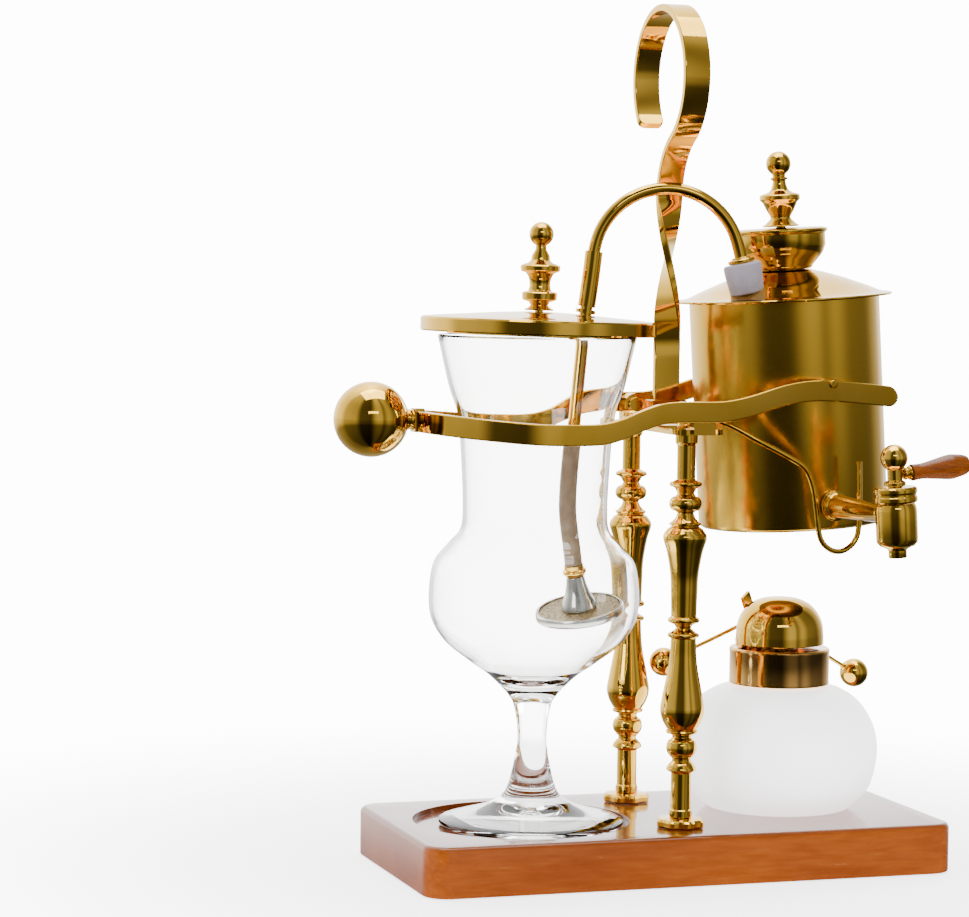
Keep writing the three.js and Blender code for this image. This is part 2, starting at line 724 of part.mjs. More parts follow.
function tapHandle() {
  const outer = flowing([[4.2, 9.3], [4, 15], [5, 22], [6.3, 30.5], [5.6, 36], [5.2, 40]], 9);
  const profile = [[2, 9.3], ...outer, [4.4, 41], [0, 41.2], [0, 38.3], [2, 38.3], [2, 9.3]];
  return turned(profile, 20);
}

// ---- Filler cap ----
function fillerCap() {
  const profile = [
    [2.8, 80.4], [22.3, 79.6], [22.6, 70.7], [20, 65.6], [15, 59.6], [10.8, 59.6], [10.8, 54], [11.6, 54],
    [11.6, 58.9], [15.5, 58.9], [20.6, 65.2], [23.3, 70.5], [23.3, 78], [24.6, 79], [24.6, 80],
    [22, 80.6], [2.8, 81.2], [2.8, 80.4],
  ];
  return turned(profile, 24);
}

function capKnob() {
  const profile = [
    [0, 74], [2.5, 74], [2.5, 81.5], [9.9, 81.5], [8.6, 82.6], [5.6, 86], [4.8, 89.6], [6, 93.4],
    [10.6, 96.2], [10.6, 97.8], [5.6, 100], [3.8, 103.4], [3.4, 108.6], ...ballEnd(3.4, 6.6, 114.9),
  ];
  return turned(profile, 16);
}

function addBoiler() {
  add("boiler_shell", onBoiler(boilerShell()), satinGold);
  add("boiler_lid", onBoiler(boilerLid()), gold);
  add("trunnion_front", onBoiler(mirrored(trunnion())), gold);
  add("trunnion_rear", onBoiler(trunnion()), gold);
  add("tap_flange", tapPlaced(tapFlange()), gold);
  add("tap_stem", tapPlaced(tapStem()), gold);
  add("tap_body", tapPlaced(tapBody()), gold);
  add("tap_collar", tapPlaced(ring(3.9, 11, -57.2, -49.2, 24).translate(0, -TAP.valve, 0)), gold);
  add("tap_plug", tapPlaced(tapPlug()), gold);
  add("tap_lever", tapPlaced(leverPlaced(rod(1.6, 4.2, 38, 12))), gold);
  add("tap_ferrule", tapPlaced(leverPlaced(ring(1.9, 3.6, 5, 9, 16))), gold);
  add("tap_handle", tapPlaced(leverPlaced(tapHandle())), turnedWood);
  add("filler_cap", onBoiler(fillerCap()), gold);
  add("cap_knob", onBoiler(capKnob()), gold);
  add("stopper", stopper(), silicone);
  add("siphon_tube", siphonTube(), gold);
  add("siphon_sleeve", sleeve(), gold);
  add("siphon_washer", onRightLeg(ring(TUBE.radius + GAP, 7, GAP, 2.4)), gold);
  add("hose", hose(), hoseSilicone);
  add("hose_coupling", onFilter(hoseCoupling()), gold);
  add("filter_stem", onFilter(filterStem()), steel);
  add("filter_dish", onFilter(filterDish()), steel);
  add("filter_mesh", onFilter(ring(3.4, FILTER.radius - 2.1, 0.9, 1.8, 24)), steel);
}

// ---- Spirit burner ----
function burnerGlass() {
  const profile = [
    [0, 26.3], [36, 26.3], [39, 27.2],
    ...flowing([[40.5, 28.6], [49.5, 39], [53.4, 57], [51, 71.5], [43.5, 83.5], [31, 90.6]], 7),
    [21, 92.4], [20.4, 94], [20.4, 108], [18.4, 108], [18.4, 92.6],
    ...flowing([[30, 88.4], [42, 81.6], [49, 70.6], [51.3, 57], [47.6, 40.2], [38, 29.8]], 6), [0, 29],
  ];
  return turned(profile, 24).translate(BURNER.x, BURNER.y, 0);
}

function burnerCollar() {
  const profile = [
    [5.4, 108.5], [20.8, 108.5], [20.8, 93.2], [26.2, 93.2], [27, 94.2], [27, 111.4], [26, 112.5],
    [5.4, 112.5],
    [5.4, 108.5],
  ];
  const collar = turned(profile, 24).translate(BURNER.x, BURNER.y, 0);
  const ears = [];
  for (const x of [HINGE.x - 10, HINGE.x + 10]) {
    ears.push(block(x - 2, x + 2, 28, HINGE.y, 106, HINGE.z));
    ears.push(alongX(rod(3.4, x - 2, x + 2, 16)).translate(0, HINGE.y, HINGE.z));
  }
  const inside = rod(24, 80, 111, 36).translate(BURNER.x, BURNER.y, 0);
  const bore = alongX(rod(HINGE.pin + GAP, 40, 110, 12)).translate(0, HINGE.y, HINGE.z);
  return cut(join(collar, cut(ears[0], inside), ears[1], cut(ears[2], inside), ears[3]), bore);
}

function wickHolder() {
  const profile = [
    [3.4, 100], [5, 100], [5, 112.8], [9, 112.8], [9, 114.2], [6, 115], [4.6, 120.5], [3.4, 120.5],
    [3.4, 100],
  ];
  return turned(profile, 20).translate(BURNER.x, BURNER.y, 0);
}

function snuffer() {
  const profile = [
    [22.4, 114.6], [23.6, 114.6], [23.6, 120], [22.7, 126], [20.2, 131.4], [15.8, 136], [9.6, 138.8],
    [0, 139.6],
    [0, 138.2], [9, 137.4], [15, 134.8], [19.2, 130.4], [21.5, 125.6], [22.4, 119.8], [22.4, 114.6],
  ];
  const dome = turned(profile, 24).translate(BURNER.x, BURNER.y, 0);
  const bracket = block(-5.5, 5.5, 24, 39, 114.6, 130).translate(HINGE.x, 0, 0);
  const eye = alongX(rod(3.4, HINGE.x - 5.5, HINGE.x + 5.5, 16)).translate(0, HINGE.y, HINGE.z);
  const tab = block(-3.6, 3.6, -1, 1, -4, 10).rotateY(-0.5).rotateZ(0.6).translate(63, 22, 131);
  const inside = turned([[0, 100], [22, 100], [22, 119.8], [19.2, 130], [9, 137.2], [0, 138]], 24);
  inside.translate(BURNER.x, BURNER.y, 0);
  const pinBore = alongX(rod(HINGE.pin + GAP, 40, 110, 12)).translate(0, HINGE.y, HINGE.z);
  const slot = block(-9, 9, -YOKE.rod - GAP, YOKE.rod + GAP, 120.8, 127.6).translate(HINGE.x, HINGE.y, 0);
  return cut(join(dome, cut(bracket, inside), eye, cut(tab, inside)), pinBore, slot);
}

function yokeRod() {
  const points = [[20, 102.5], [46, 113.4], [67, 122.6], [74, 125.2], [82, 122.6], [105, 109], [131, 93.6]];
  const curve = smoothCurve(points.map(([x, z]) => new THREE.Vector3(x, HINGE.y, z)));
  return swept(curve, YOKE.rod, 0, 6, 12);
}

// A ball weight with a blind hole for the end of the rod
function weightBall(x, z, towardX, towardZ) {
  const hole = rod(YOKE.rod + GAP, -3, 12, 10);
  hole.rotateY(Math.atan2(towardX, towardZ)).translate(x, HINGE.y, z);
  return cut(ball(YOKE.ball, x, HINGE.y, z, 16), hole);
}

function addBurner() {
  add("burner_glass", burnerGlass(), frostedGlass);
  add("burner_collar", burnerCollar(), gold);
  add("wick_holder", wickHolder(), gold);
  add("wick", rod(3, 40, 125, 16).translate(BURNER.x, BURNER.y, 0), cotton);
  add("snuffer", snuffer(), gold);
  const pin = alongX(rod(HINGE.pin, HINGE.x - 13, HINGE.x + 13, 12));
  add("hinge_pin", pin.translate(0, HINGE.y, HINGE.z), gold);
  add("yoke_rod", yokeRod(), gold);
  add("weight_ball_left", weightBall(19, 102.1, 26, 10.9), gold);
  add("weight_ball_right", weightBall(132, 93, -26, 15.4), gold);
}

addFrame();
addBeam();
addBoiler();
addBurner();

export default maker;
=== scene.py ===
import math

import bmesh
import bpy
from mathutils import Matrix, Vector


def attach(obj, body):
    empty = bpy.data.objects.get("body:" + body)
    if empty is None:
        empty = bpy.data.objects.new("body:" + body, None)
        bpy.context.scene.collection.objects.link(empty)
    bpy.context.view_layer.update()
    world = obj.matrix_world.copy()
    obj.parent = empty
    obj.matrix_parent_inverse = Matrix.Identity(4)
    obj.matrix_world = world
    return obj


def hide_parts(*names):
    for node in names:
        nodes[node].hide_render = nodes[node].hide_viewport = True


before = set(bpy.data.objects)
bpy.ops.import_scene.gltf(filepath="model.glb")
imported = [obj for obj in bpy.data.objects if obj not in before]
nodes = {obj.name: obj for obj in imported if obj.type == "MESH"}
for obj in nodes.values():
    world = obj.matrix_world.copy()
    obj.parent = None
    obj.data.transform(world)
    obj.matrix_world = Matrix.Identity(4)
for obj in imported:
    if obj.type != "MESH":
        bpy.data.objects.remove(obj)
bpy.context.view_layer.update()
MM = 0.001
WHITE = (1, 1, 1, 1)
GAP = 0.3  # Room between a turning piece and its seat.

# ---- Driving dimensions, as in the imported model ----
TRUNNION = Vector((73, 0, 257))
BOILER_LEAN = -3.7
BOILER_RADIUS = 50.5
TAP_TURN = 2
TAP_Z = -64
TAP_VALVE = 120.5
LEVER_Z = -43.4
LEVER_LEAN = -3.5
ARCH = {"x": -2.5, "y": -14, "z": 318.5, "radius": 38.5, "turn": 14.5, "right": 12, "left": 172}
STOPPER_Z = 318.5
FILTER_CENTRE = Vector((-43.5, -2, 135.7))
FILTER_LEAN = {"x": 9, "y": -12}
GLASS_X = -68.5
GLASS_LID = {"centre": Vector((-68, 0, 280.8)), "radius": 61.5, "tilt": 1.2}
LID_HOLE = {"x": 25.5, "y": -3.8, "radius": 7.6}
BOARD = {"length": 290, "depth": 138, "height": 26, "corner": 13, "edge": 3}
RECESS = {"x": -74, "radius": 56.9, "floor": 23}
COLUMN_Y = 40
BURNER_CENTRE = Vector((74, 6, 0))
HINGE = Vector((74, 36, 113))
BEAM = {"y": 58, "thickness": 3.5, "height": 10.8, "bend_x": -75, "end": 110, "start": 4.25}
BALL = {"x": -157.9, "z": 236.5, "radius": 19.4}
PIVOT = Vector((4, 0, 241.5))
TRUNNION_RADIUS = 2.1
STRAP = {"x": 3.7, "width": 14, "thickness": 4, "edge": 0.7, "twist_from": 270, "twist_over": 82}
HOOK = {"low": 236, "bend": 351.8, "radius": 36.5, "swing": 60, "tip": -41}


# ---- Placing ----
def turn(degrees, axis):
    return Matrix.Rotation(math.radians(degrees), 4, axis)


def shift(x, y, z):
    return Matrix.Translation((x, y, z))


ON_BOILER = Matrix.Translation(TRUNNION) @ turn(BOILER_LEAN, "Y")
ON_TAP = ON_BOILER @ turn(TAP_TURN, "Z")
TAP_BARREL = ON_TAP @ shift(0, 0, TAP_Z) @ turn(90, "X")
TAP_UPRIGHT = ON_TAP @ shift(0, -TAP_VALVE, 0)
LEVER = ON_TAP @ shift(0, -TAP_VALVE, LEVER_Z) @ turn(LEVER_LEAN, "Y") @ turn(90, "Y")
ON_FILTER = Matrix.Translation(FILTER_CENTRE) @ turn(FILTER_LEAN["y"], "Y") @ turn(FILTER_LEAN["x"], "X")
ON_GLASS = shift(GLASS_X, 0, 0)
ON_GLASS_LID = Matrix.Translation(GLASS_LID["centre"]) @ turn(GLASS_LID["tilt"], "Y")
ON_BURNER = Matrix.Translation(BURNER_CENTRE)
ALONG_X = turn(90, "Y")


# ---- Profiles and curves ----
def spline(points, steps):
    """A smooth curve through the points, a given number of steps between two of them."""
    vectors = [Vector(point) for point in points]
    ends = [2 * vectors[0] - vectors[1], *vectors, 2 * vectors[-1] - vectors[-2]]
    curve = []
    for a, b, c, d in zip(ends, ends[1:], ends[2:], ends[3:]):
        for i in range(steps):
            t = i / steps
            squared = (2 * a - 5 * b + 4 * c - d) * t**2
            cubed = (3 * b - a - 3 * c + d) * t**3
            curve.append(0.5 * (2 * b + (c - a) * t + squared + cubed))
    return [*curve, vectors[-1]]


def flowing(points, steps=5):
    """The smooth curve of a profile's points."""
    return [(point[0], point[1]) for point in spline(points, steps)]


def bead(low, high, root, crest, steps=10):
    """The profile of a round bead between two heights, from a root radius out to its crest."""
    points = []
    for i in range(steps + 1):
        angle = math.pi * i / steps
        radius = root + (crest - root) * math.sin(angle)
        points.append((radius, low + (high - low) * (1 - math.cos(angle)) / 2))
    return points


def ball_end(neck, radius, centre, steps=18):
    """The profile of a ball that closes a neck's upper end."""
    first = math.asin(neck / radius)
    angles = [first + (math.pi - first) * i / steps for i in range(steps)]
    points = [(radius * math.sin(angle), centre - radius * math.cos(angle)) for angle in angles]
    return [*points, (0, centre + radius)]


def circle(sides):
    """The cosine and sine at each corner of a round section."""
    angles = [2 * math.pi * i / sides for i in range(sides)]
    return [(math.cos(angle), math.sin(angle)) for angle in angles]


def rounded_outline(across, up, radius, steps):
    """Four corner arcs of a rectangle, whose centres are (across, up) from its middle."""
    outline = []
    for sx, sy, first in ((1, 1, 0), (-1, 1, 90), (-1, -1, 180), (1, -1, 270)):
        for i in range(steps + 1):
            angle = math.radians(first + 90 * i / steps)
            outline.append((sx * across + radius * math.cos(angle), sy * up + radius * math.sin(angle)))
    return outline


# ---- Making pieces ----
def linked(name, data):
    """A new object in the scene."""
    made = bpy.data.objects.new(name, data)
    bpy.context.scene.collection.objects.link(made)
    return made


def shade(mesh, sharp=32):
    """Smooth shading, with edges sharper than an angle left crisp."""
    mesh.polygons.foreach_set("use_smooth", [True] * len(mesh.polygons))
    mesh.set_sharp_from_angle(angle=math.radians(sharp))


def finished(bm, name, material, body, replaced, sharp=32, bevel=0.25, flat=False):
    """A smooth-shaded piece whose corners are slightly rounded, riding on a body."""
    bmesh.ops.remove_doubles(bm, verts=bm.verts, dist=1e-7)
    bmesh.ops.recalc_face_normals(bm, faces=bm.faces)
    mesh = bpy.data.meshes.new(name)
    bm.to_mesh(mesh)
    bm.free()
    shade(mesh, sharp)
    mesh.materials.append(material)
    piece = linked(name, mesh)
    if bevel:
        soften(piece, bevel)
    if flat:
        flatten_normals(piece)
    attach(piece, body)
    if replaced:
        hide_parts(*replaced)
    return piece


def flatten_normals(piece):
    """Large faces keep their flat shading beside small rounded edges."""
    weighted = piece.modifiers.new("flat faces", "WEIGHTED_NORMAL")
    weighted.keep_sharp = True


def soften(piece, width):
    """Small rounded edges, a given number of millimetres wide."""
    corners = piece.modifiers.new("rounded corners", "BEVEL")
    corners.width = width * MM
    corners.segments = 2
    corners.limit_method = "ANGLE"
    corners.angle_limit = math.radians(38)
    corners.harden_normals = True


def skin(bm, rings, closed_ends=True):
    """Faces between rings of equally many corners, or of one corner, and over the two ends."""
    for first, second in zip(rings, rings[1:]):
        count = max(len(first), len(second))
        for i in range(count):
            j = (i + 1) % count
            lower = [first[i % len(first)], first[j % len(first)]]
            upper = [second[j % len(second)], second[i % len(second)]]
            distinct = list(dict.fromkeys(lower + upper))
            if len(distinct) > 2:
                bm.faces.new(distinct)
    if closed_ends:
        for ring in (rings[0], rings[-1]):
            if len(ring) > 2:
                bm.faces.new(ring)


def turned(name, profile, place, material, body, replaced=(), sides=64, bevel=0.25):
    """(radius, height) pairs spun round an axis; the profile ends on the axis or where it starts."""
    bm = bmesh.new()
    rings = []
    for radius, height in profile:
        if radius < 1e-6:
            rings.append([bm.verts.new(place @ Vector((0, 0, height)) * MM)])
            continue
        corners = [Vector((radius * x, radius * y, height)) for x, y in circle(sides)]
        rings.append([bm.verts.new(place @ corner * MM) for corner in corners])
    skin(bm, rings, closed_ends=False)
    return finished(bm, name, material, body, replaced, bevel=bevel)


def tube(name, points, radius, material, body, replaced=(), sides=24, bore=0):
    """A round bar, or a pipe with a bore, along a line of points."""
    bm = bmesh.new()
    line = [Vector(point) for point in points]
    side = (line[1] - line[0]).orthogonal().normalized()
    rings = {reach: [] for reach in (radius, bore) if reach}
    for i, point in enumerate(line):
        along = (line[min(i + 1, len(line) - 1)] - line[max(i - 1, 0)]).normalized()
        side = (side - along * side.dot(along)).normalized()
        other = along.cross(side)
        for reach in rings:
            corners = [point + reach * (side * x + other * y) for x, y in circle(sides)]
            rings[reach].append([bm.verts.new(corner * MM) for corner in corners])
    if bore:
        loop = [*rings[radius], *reversed(rings[bore]), rings[radius][0]]
        skin(bm, loop, closed_ends=False)
    else:
        skin(bm, rings[radius])
    return finished(bm, name, material, body, replaced, bevel=0)


def carried(name, material, bevel=0.4):
    """A node whose shape is right as it is: its corners are rounded and it gets its material."""
    node = nodes[name]
    node.data.materials.clear()
    node.data.materials.append(material)
    shade(node.data, 30)
    soften(node, bevel)
    flatten_normals(node)


def punch(radius, depth, sides):
    """A round cutter, upright about the origin."""
    bm = bmesh.new()
    reach = radius * MM
    bmesh.ops.create_cone(bm, cap_ends=True, segments=sides, radius1=reach, radius2=reach, depth=depth * MM)
    return bm


def add_block(bm, low, high, place):
    """Adds a block, between two opposite corners, to a mesh being made."""
    middle, size = (Vector(low) + Vector(high)) / 2, Vector(high) - Vector(low)
    for vert in bmesh.ops.create_cube(bm, size=1)["verts"]:
        vert.co = place @ (middle + vert.co * size) * MM


def cut_out(piece, bm, place):
    """Cuts a form, made about the origin in metres, out of a piece."""
    mesh = bpy.data.meshes.new("cutter")
    bm.to_mesh(mesh)
    bm.free()
    cutter = linked("cutter", mesh)
    cutter.matrix_world = Matrix.Translation(place.translation * MM) @ place.to_3x3().to_4x4()
    piece.modifiers.clear()
    boolean = piece.modifiers.new("hole", "BOOLEAN")
    boolean.operation = "DIFFERENCE"
    boolean.object = cutter
    bpy.context.view_layer.update()
    evaluated = piece.evaluated_get(bpy.context.evaluated_depsgraph_get())
    piece.data = bpy.data.meshes.new_from_object(evaluated)
    piece.modifiers.remove(boolean)
    bpy.data.objects.remove(cutter)
    shade(piece.data)
    soften(piece, 0.25)


# ---- Materials ----
class Wiring:
    """A material's or a world's nodes, with short ways to wire them."""

    def __init__(self, tree):
        self.tree = tree

    def feed(self, socket, value):
        """Links an output to a socket, or sets the socket's constant."""
        if isinstance(value, bpy.types.NodeSocket):
            self.tree.links.new(value, socket)
        else:
            socket.default_value = value

    def node(self, kind, **inputs):
        node = self.tree.nodes.new("ShaderNode" + kind)
        for key, value in inputs.items():
            self.feed(node.inputs[key.replace("_", " ")], value)
        return node

    def ramp(self, factor, *stops, easing="LINEAR"):
        """Colours or greys between positions, as (position, value) pairs."""
        node = self.node("ValToRGB", Fac=factor)
        node.color_ramp.interpolation = easing
        elements = node.color_ramp.elements
        while len(elements) < len(stops):
            elements.new(0.5)
        for element, (position, value) in zip(elements, stops):
            element.position = position
            element.color = (value, value, value, 1) if isinstance(value, float) else (*value, 1)
        return node.outputs["Color"]

    def worked_out(self, operation, first, second=0.0):
        """The result of a sum on two values."""
        node = self.node("Math")
        node.operation = operation
        for socket, value in zip(node.inputs, (first, second)):
            self.feed(socket, value)
        return node.outputs[0]


class Finish(Wiring):
    """A material with a principled shader, patterned in the object's own space."""

    def __init__(self, name, **values):
        self.material = bpy.data.materials.new(name)
        self.material.use_nodes = True
        super().__init__(self.material.node_tree)
        self.shader = self.tree.nodes["Principled BSDF"]
        for key, value in values.items():
            self.shader.inputs[key.replace("_", " ")].default_value = value
        self.place = self.node("TexCoord").outputs["Object"]

    def noise(self, scale, detail=4.0, stretch=None, roughness=0.55):
        vector = self.place
        if stretch:
            vector = self.node("Mapping", Vector=vector, Scale=stretch).outputs["Vector"]
        node = self.node("TexNoise", Vector=vector, Scale=scale, Detail=detail, Roughness=roughness)
        return node.outputs["Fac"]

    def drive(self, socket, output):
        self.tree.links.new(output, self.shader.inputs[socket])

    def bump(self, height, strength, distance):
        node = self.node("Bump", Height=height, Strength=strength, Distance=distance)
        self.drive("Normal", node.outputs["Normal"])


def polished(name, light, deep, gloss):
    """Bright metal, a little cloudy in its colour and smeared in its gloss."""
    finish = Finish(name, Metallic=1.0)
    cloud = finish.noise(22.0, 3.0)
    finish.drive("Base Color", finish.ramp(cloud, (0.3, deep), (0.7, light)))
    smear = finish.noise(160.0, 5.0)
    finish.drive("Roughness", finish.ramp(smear, (0.35, gloss * 0.7), (0.75, gloss * 1.5)))
    finish.bump(finish.noise(70.0, 2.0), 0.02, 0.0006)
    return finish.material


def satin_gold():
    """Gold spun on a lathe, with faint lines round the wall in its gloss."""
    finish = Finish("satin_gold", Metallic=1.0)
    lines = finish.noise(60.0, 6.0, stretch=(0.3, 0.3, 60.0))
    cloud = finish.noise(14.0, 2.0)
    finish.drive("Base Color", finish.ramp(cloud, (0.3, (0.8, 0.475, 0.045)), (0.7, (0.85, 0.515, 0.06))))
    finish.drive("Roughness", finish.ramp(lines, (0.3, 0.21), (0.7, 0.23)))
    finish.bump(lines, 0.003, 0.0001)
    return finish.material


def lacquered_wood():
    """Orange-brown wood under a deep gloss lacquer, its grain along the board."""
    lacquer = {"Coat_Weight": 0.7, "Coat_Roughness": 0.02, "Coat_IOR": 1.45}
    finish = Finish("lacquered_wood", Specular_IOR_Level=0.2, **lacquer)
    grain = finish.noise(34.0, 8.0, stretch=(1.2, 9.0, 9.0), roughness=0.65)
    broad = finish.noise(9.0, 3.0, stretch=(1.0, 3.0, 3.0))
    stops = ((0.25, (0.165, 0.031, 0.0)), (0.5, (0.21, 0.043, 0.0)), (0.8, (0.26, 0.059, 0.0)))
    base = finish.ramp(grain, *stops)
    tint = finish.ramp(broad, (0.3, (0.6, 0.5, 0.4)), (0.7, (1.0, 1.0, 1.0)))
    mix = finish.node("MixRGB", Fac=0.75, Color1=base, Color2=tint)
    mix.blend_type = "MULTIPLY"
    finish.drive("Base Color", mix.outputs["Color"])
    finish.drive("Roughness", finish.ramp(grain, (0.3, 0.2), (0.8, 0.3)))
    finish.bump(grain, 0.015, 0.0002)
    return finish.material


def turned_wood():
    """The tap handle's dark, streaky wood."""
    finish = Finish("turned_wood", Coat_Weight=0.35, Coat_Roughness=0.05, Specular_IOR_Level=0.2)
    grain = finish.noise(90.0, 7.0, stretch=(0.8, 6.0, 6.0), roughness=0.7)
    stops = ((0.3, (0.1, 0.02, 0.0)), (0.55, (0.2, 0.045, 0.0)), (0.8, (0.3, 0.08, 0.0)))
    finish.drive("Base Color", finish.ramp(grain, *stops))
    finish.drive("Roughness", finish.ramp(grain, (0.3, 0.25), (0.7, 0.4)))
    finish.bump(grain, 0.08, 0.0002)
    return finish.material


def clear_glass():
    """Blown glass with faint waves and a trace of green in its thickness."""
    finish = Finish("clear_glass", Transmission_Weight=1.0, IOR=1.46)
    wave = finish.noise(12.0, 2.0, stretch=(1.0, 1.0, 0.6))
    finish.drive("Base Color", finish.ramp(wave, (0.2, (0.97, 0.985, 0.965)), (0.8, (0.99, 0.99, 0.995))))
    finish.drive("Roughness", finish.ramp(finish.noise(200.0, 3.0), (0.5, 0.0), (0.9, 0.015)))
    finish.bump(wave, 0.015, 0.001)
    return finish.material


def frosted_glass():
    """Milky glass whose emission is painted light, so it glows as if lit right through."""
    # Painted light: the white emission stands in for light passing through the bottle.
    painted_glow = {"Emission_Color": WHITE, "Emission_Strength": 2.0}
    finish = Finish("frosted_glass", Coat_Weight=0.25, Coat_Roughness=0.2, **painted_glow)
    mist = finish.noise(40.0, 4.0)
    finish.drive("Base Color", finish.ramp(mist, (0.3, (0.92, 0.915, 0.92)), (0.7, (0.96, 0.96, 0.96))))
    finish.drive("Roughness", finish.ramp(finish.noise(300.0, 3.0), (0.3, 0.34), (0.7, 0.46)))
    finish.bump(finish.noise(600.0, 2.0), 0.06, 0.0001)
    return finish.material


def rubbery(name, low, high, rough, scale):
    """Soft matt rubber, slightly blotched."""
    finish = Finish(name, Specular_IOR_Level=0.4)
    spots = finish.noise(scale, 4.0)
    finish.drive("Base Color", finish.ramp(spots, (0.3, low), (0.7, high)))
    finish.drive("Roughness", finish.ramp(spots, (0.3, rough), (0.7, rough + 0.14)))
    finish.bump(finish.noise(scale * 6, 2.0), 0.08, 0.0002)
    return finish.material


def filter_cloth():
    """A fine brownish cloth, its weave drawn by small cells."""
    finish = Finish("filter_cloth", Metallic=0.4, Specular_IOR_Level=0.5)
    checks = finish.node("TexVoronoi", Vector=finish.place, Scale=900.0).outputs["Distance"]
    stops = ((0.15, (0.07, 0.04, 0.006)), (0.45, (0.33, 0.21, 0.05)), (0.75, (0.56, 0.43, 0.19)))
    finish.drive("Base Color", finish.ramp(checks, *stops))
    finish.drive("Roughness", finish.ramp(checks, (0.2, 0.5), (0.7, 0.3)))
    finish.bump(checks, 0.6, 0.0004)
    return finish.material


def cotton():
    """Pale twisted strands."""
    finish = Finish("cotton", Sheen_Weight=0.4)
    strands = finish.noise(240.0, 5.0, stretch=(4.0, 4.0, 0.4))
    finish.drive("Base Color", finish.ramp(strands, (0.3, (0.62, 0.57, 0.47)), (0.7, (0.86, 0.82, 0.74))))
    finish.drive("Roughness", finish.ramp(strands, (0.3, 0.8), (0.7, 0.95)))
    finish.bump(strands, 0.5, 0.0004)
    return finish.material


GOLD = polished("gold", (0.88, 0.535, 0.07), (0.78, 0.45, 0.04), 0.06)
WARM_GOLD = polished("warm_gold", (0.8, 0.45, 0.14), (0.7, 0.38, 0.08), 0.1)
STEEL = polished("steel", (0.66, 0.64, 0.6), (0.48, 0.46, 0.42), 0.2)
SATIN = satin_gold()
WOOD = lacquered_wood()
HANDLE_WOOD = turned_wood()
GLASS = clear_glass()
FROSTED = frosted_glass()
SILICONE = rubbery("silicone", (0.3, 0.27, 0.33), (0.39, 0.355, 0.42), 0.42, 60.0)
HOSE = rubbery("hose_silicone", (0.27, 0.17, 0.09), (0.4, 0.28, 0.17), 0.3, 90.0)
CLOTH = filter_cloth()
COTTON = cotton()


# ---- Frame: base, columns, bridge, hook ----
def columns():
    profile = [
        (0, 31), (5.9, 31.3), (5.9, 34.8), (5.3, 35.4), (5.3, 54.4), (7.9, 55.9), (7.7, 57.2), (6.4, 59),
        (4.9, 60.5), (4.9, 62), (6.4, 63.2), *bead(63.6, 71.5, 6, 8), (4.9, 73), (5.2, 74.2),
        *bead(74.8, 77.2, 6.8, 8.3, 6),
        *flowing([(8, 77.6), (10.3, 81.8), (11.5, 87), (10.5, 94.3), (7.4, 111), (6.5, 124.6)], 7),
        *bead(125, 127.4, 7, 8.3, 6), (5.2, 128.6), (3.8, 129.9), (4.8, 131.6),
        *bead(132.6, 135.4, 7, 8.3, 6),
        *flowing([(6.6, 136), (6.9, 147), (7.4, 158), (9.3, 169.3), (11.4, 177), (9.3, 181.2)], 7),
        (7.2, 182.6), *bead(183, 184.8, 7.2, 8.3, 6), (5.2, 187), (4.2, 189.6),
        *bead(190.6, 198.2, 5.4, 8.5), (4.3, 199.8), (5.6, 202.3), *bead(203.2, 205.8, 7, 8.5, 6),
        (4.8, 207), (4.8, 224.8), (5.8, 226), (5.8, 230), (0, 230),
    ]
    dome = [(0, 233.6), (5, 233.6), (5, 235.6), *flowing([(4.8, 236.2), (3.8, 237.8), (2, 238.7)]), (0, 239)]
    for name, y in (("front", -COLUMN_Y), ("rear", COLUMN_Y)):
        place = shift(0, y, 0)
        turned(f"turned_column_{name}", profile, place, GOLD, "frame", replaced=[f"column_{name}"], sides=48)
        column_foot(name, y)
        turned(f"domed_nut_{name}", dome, place, GOLD, "frame", replaced=[f"cap_nut_{name}"], sides=32)


def column_foot(name, y):
    """A round foot with eight scallops round its edge."""
    levels = (
        (11.4, 26.3, 0.7), (12.2, 26.9, 0.7), (12.2, 29.2, 0.7), (11.2, 30.4, 0.56), (7, 31, 0),
    )
    bm = bmesh.new()
    rings = [[bm.verts.new(Vector((0, y, levels[0][1])) * MM)]]
    for reach, height, scallop in levels:
        ring = []
        for i in range(96):
            angle = 2 * math.pi * i / 96
            radius = reach + scallop * math.cos(8 * angle)
            corner = Vector((radius * math.cos(angle), y + radius * math.sin(angle), height))
            ring.append(bm.verts.new(corner * MM))
        rings.append(ring)
    rings.append([bm.verts.new(Vector((0, y, levels[-1][1])) * MM)])
    skin(bm, rings, closed_ends=False)
    finished(bm, f"scalloped_foot_{name}", GOLD, "frame", [f"column_foot_{name}"])


def hook_line():
    """The strap's middle in the plane x = 0: straight up, a bend to the front, a loop over to the rear."""
    low, bend, radius, swing = HOOK["low"], HOOK["bend"], HOOK["radius"], HOOK["swing"]
    straight_steps, bend_steps, loop_steps = 70, 40, 150
    points = [(0.0, low + (bend - low) * i / straight_steps) for i in range(straight_steps)]
    for i in range(bend_steps):
        angle = math.radians(swing * i / bend_steps)
        points.append((-radius + radius * math.cos(angle), bend + radius * math.sin(angle)))
    loop_z = bend + 2 * radius * math.sin(math.radians(swing))
    first = 180 + swing
    for i in range(loop_steps + 1):
        angle = math.radians(first + (HOOK["tip"] - first) * i / loop_steps)
        points.append((radius * math.cos(angle), loop_z + radius * math.sin(angle)))
    return [Vector((0, y, z)) for y, z in points]


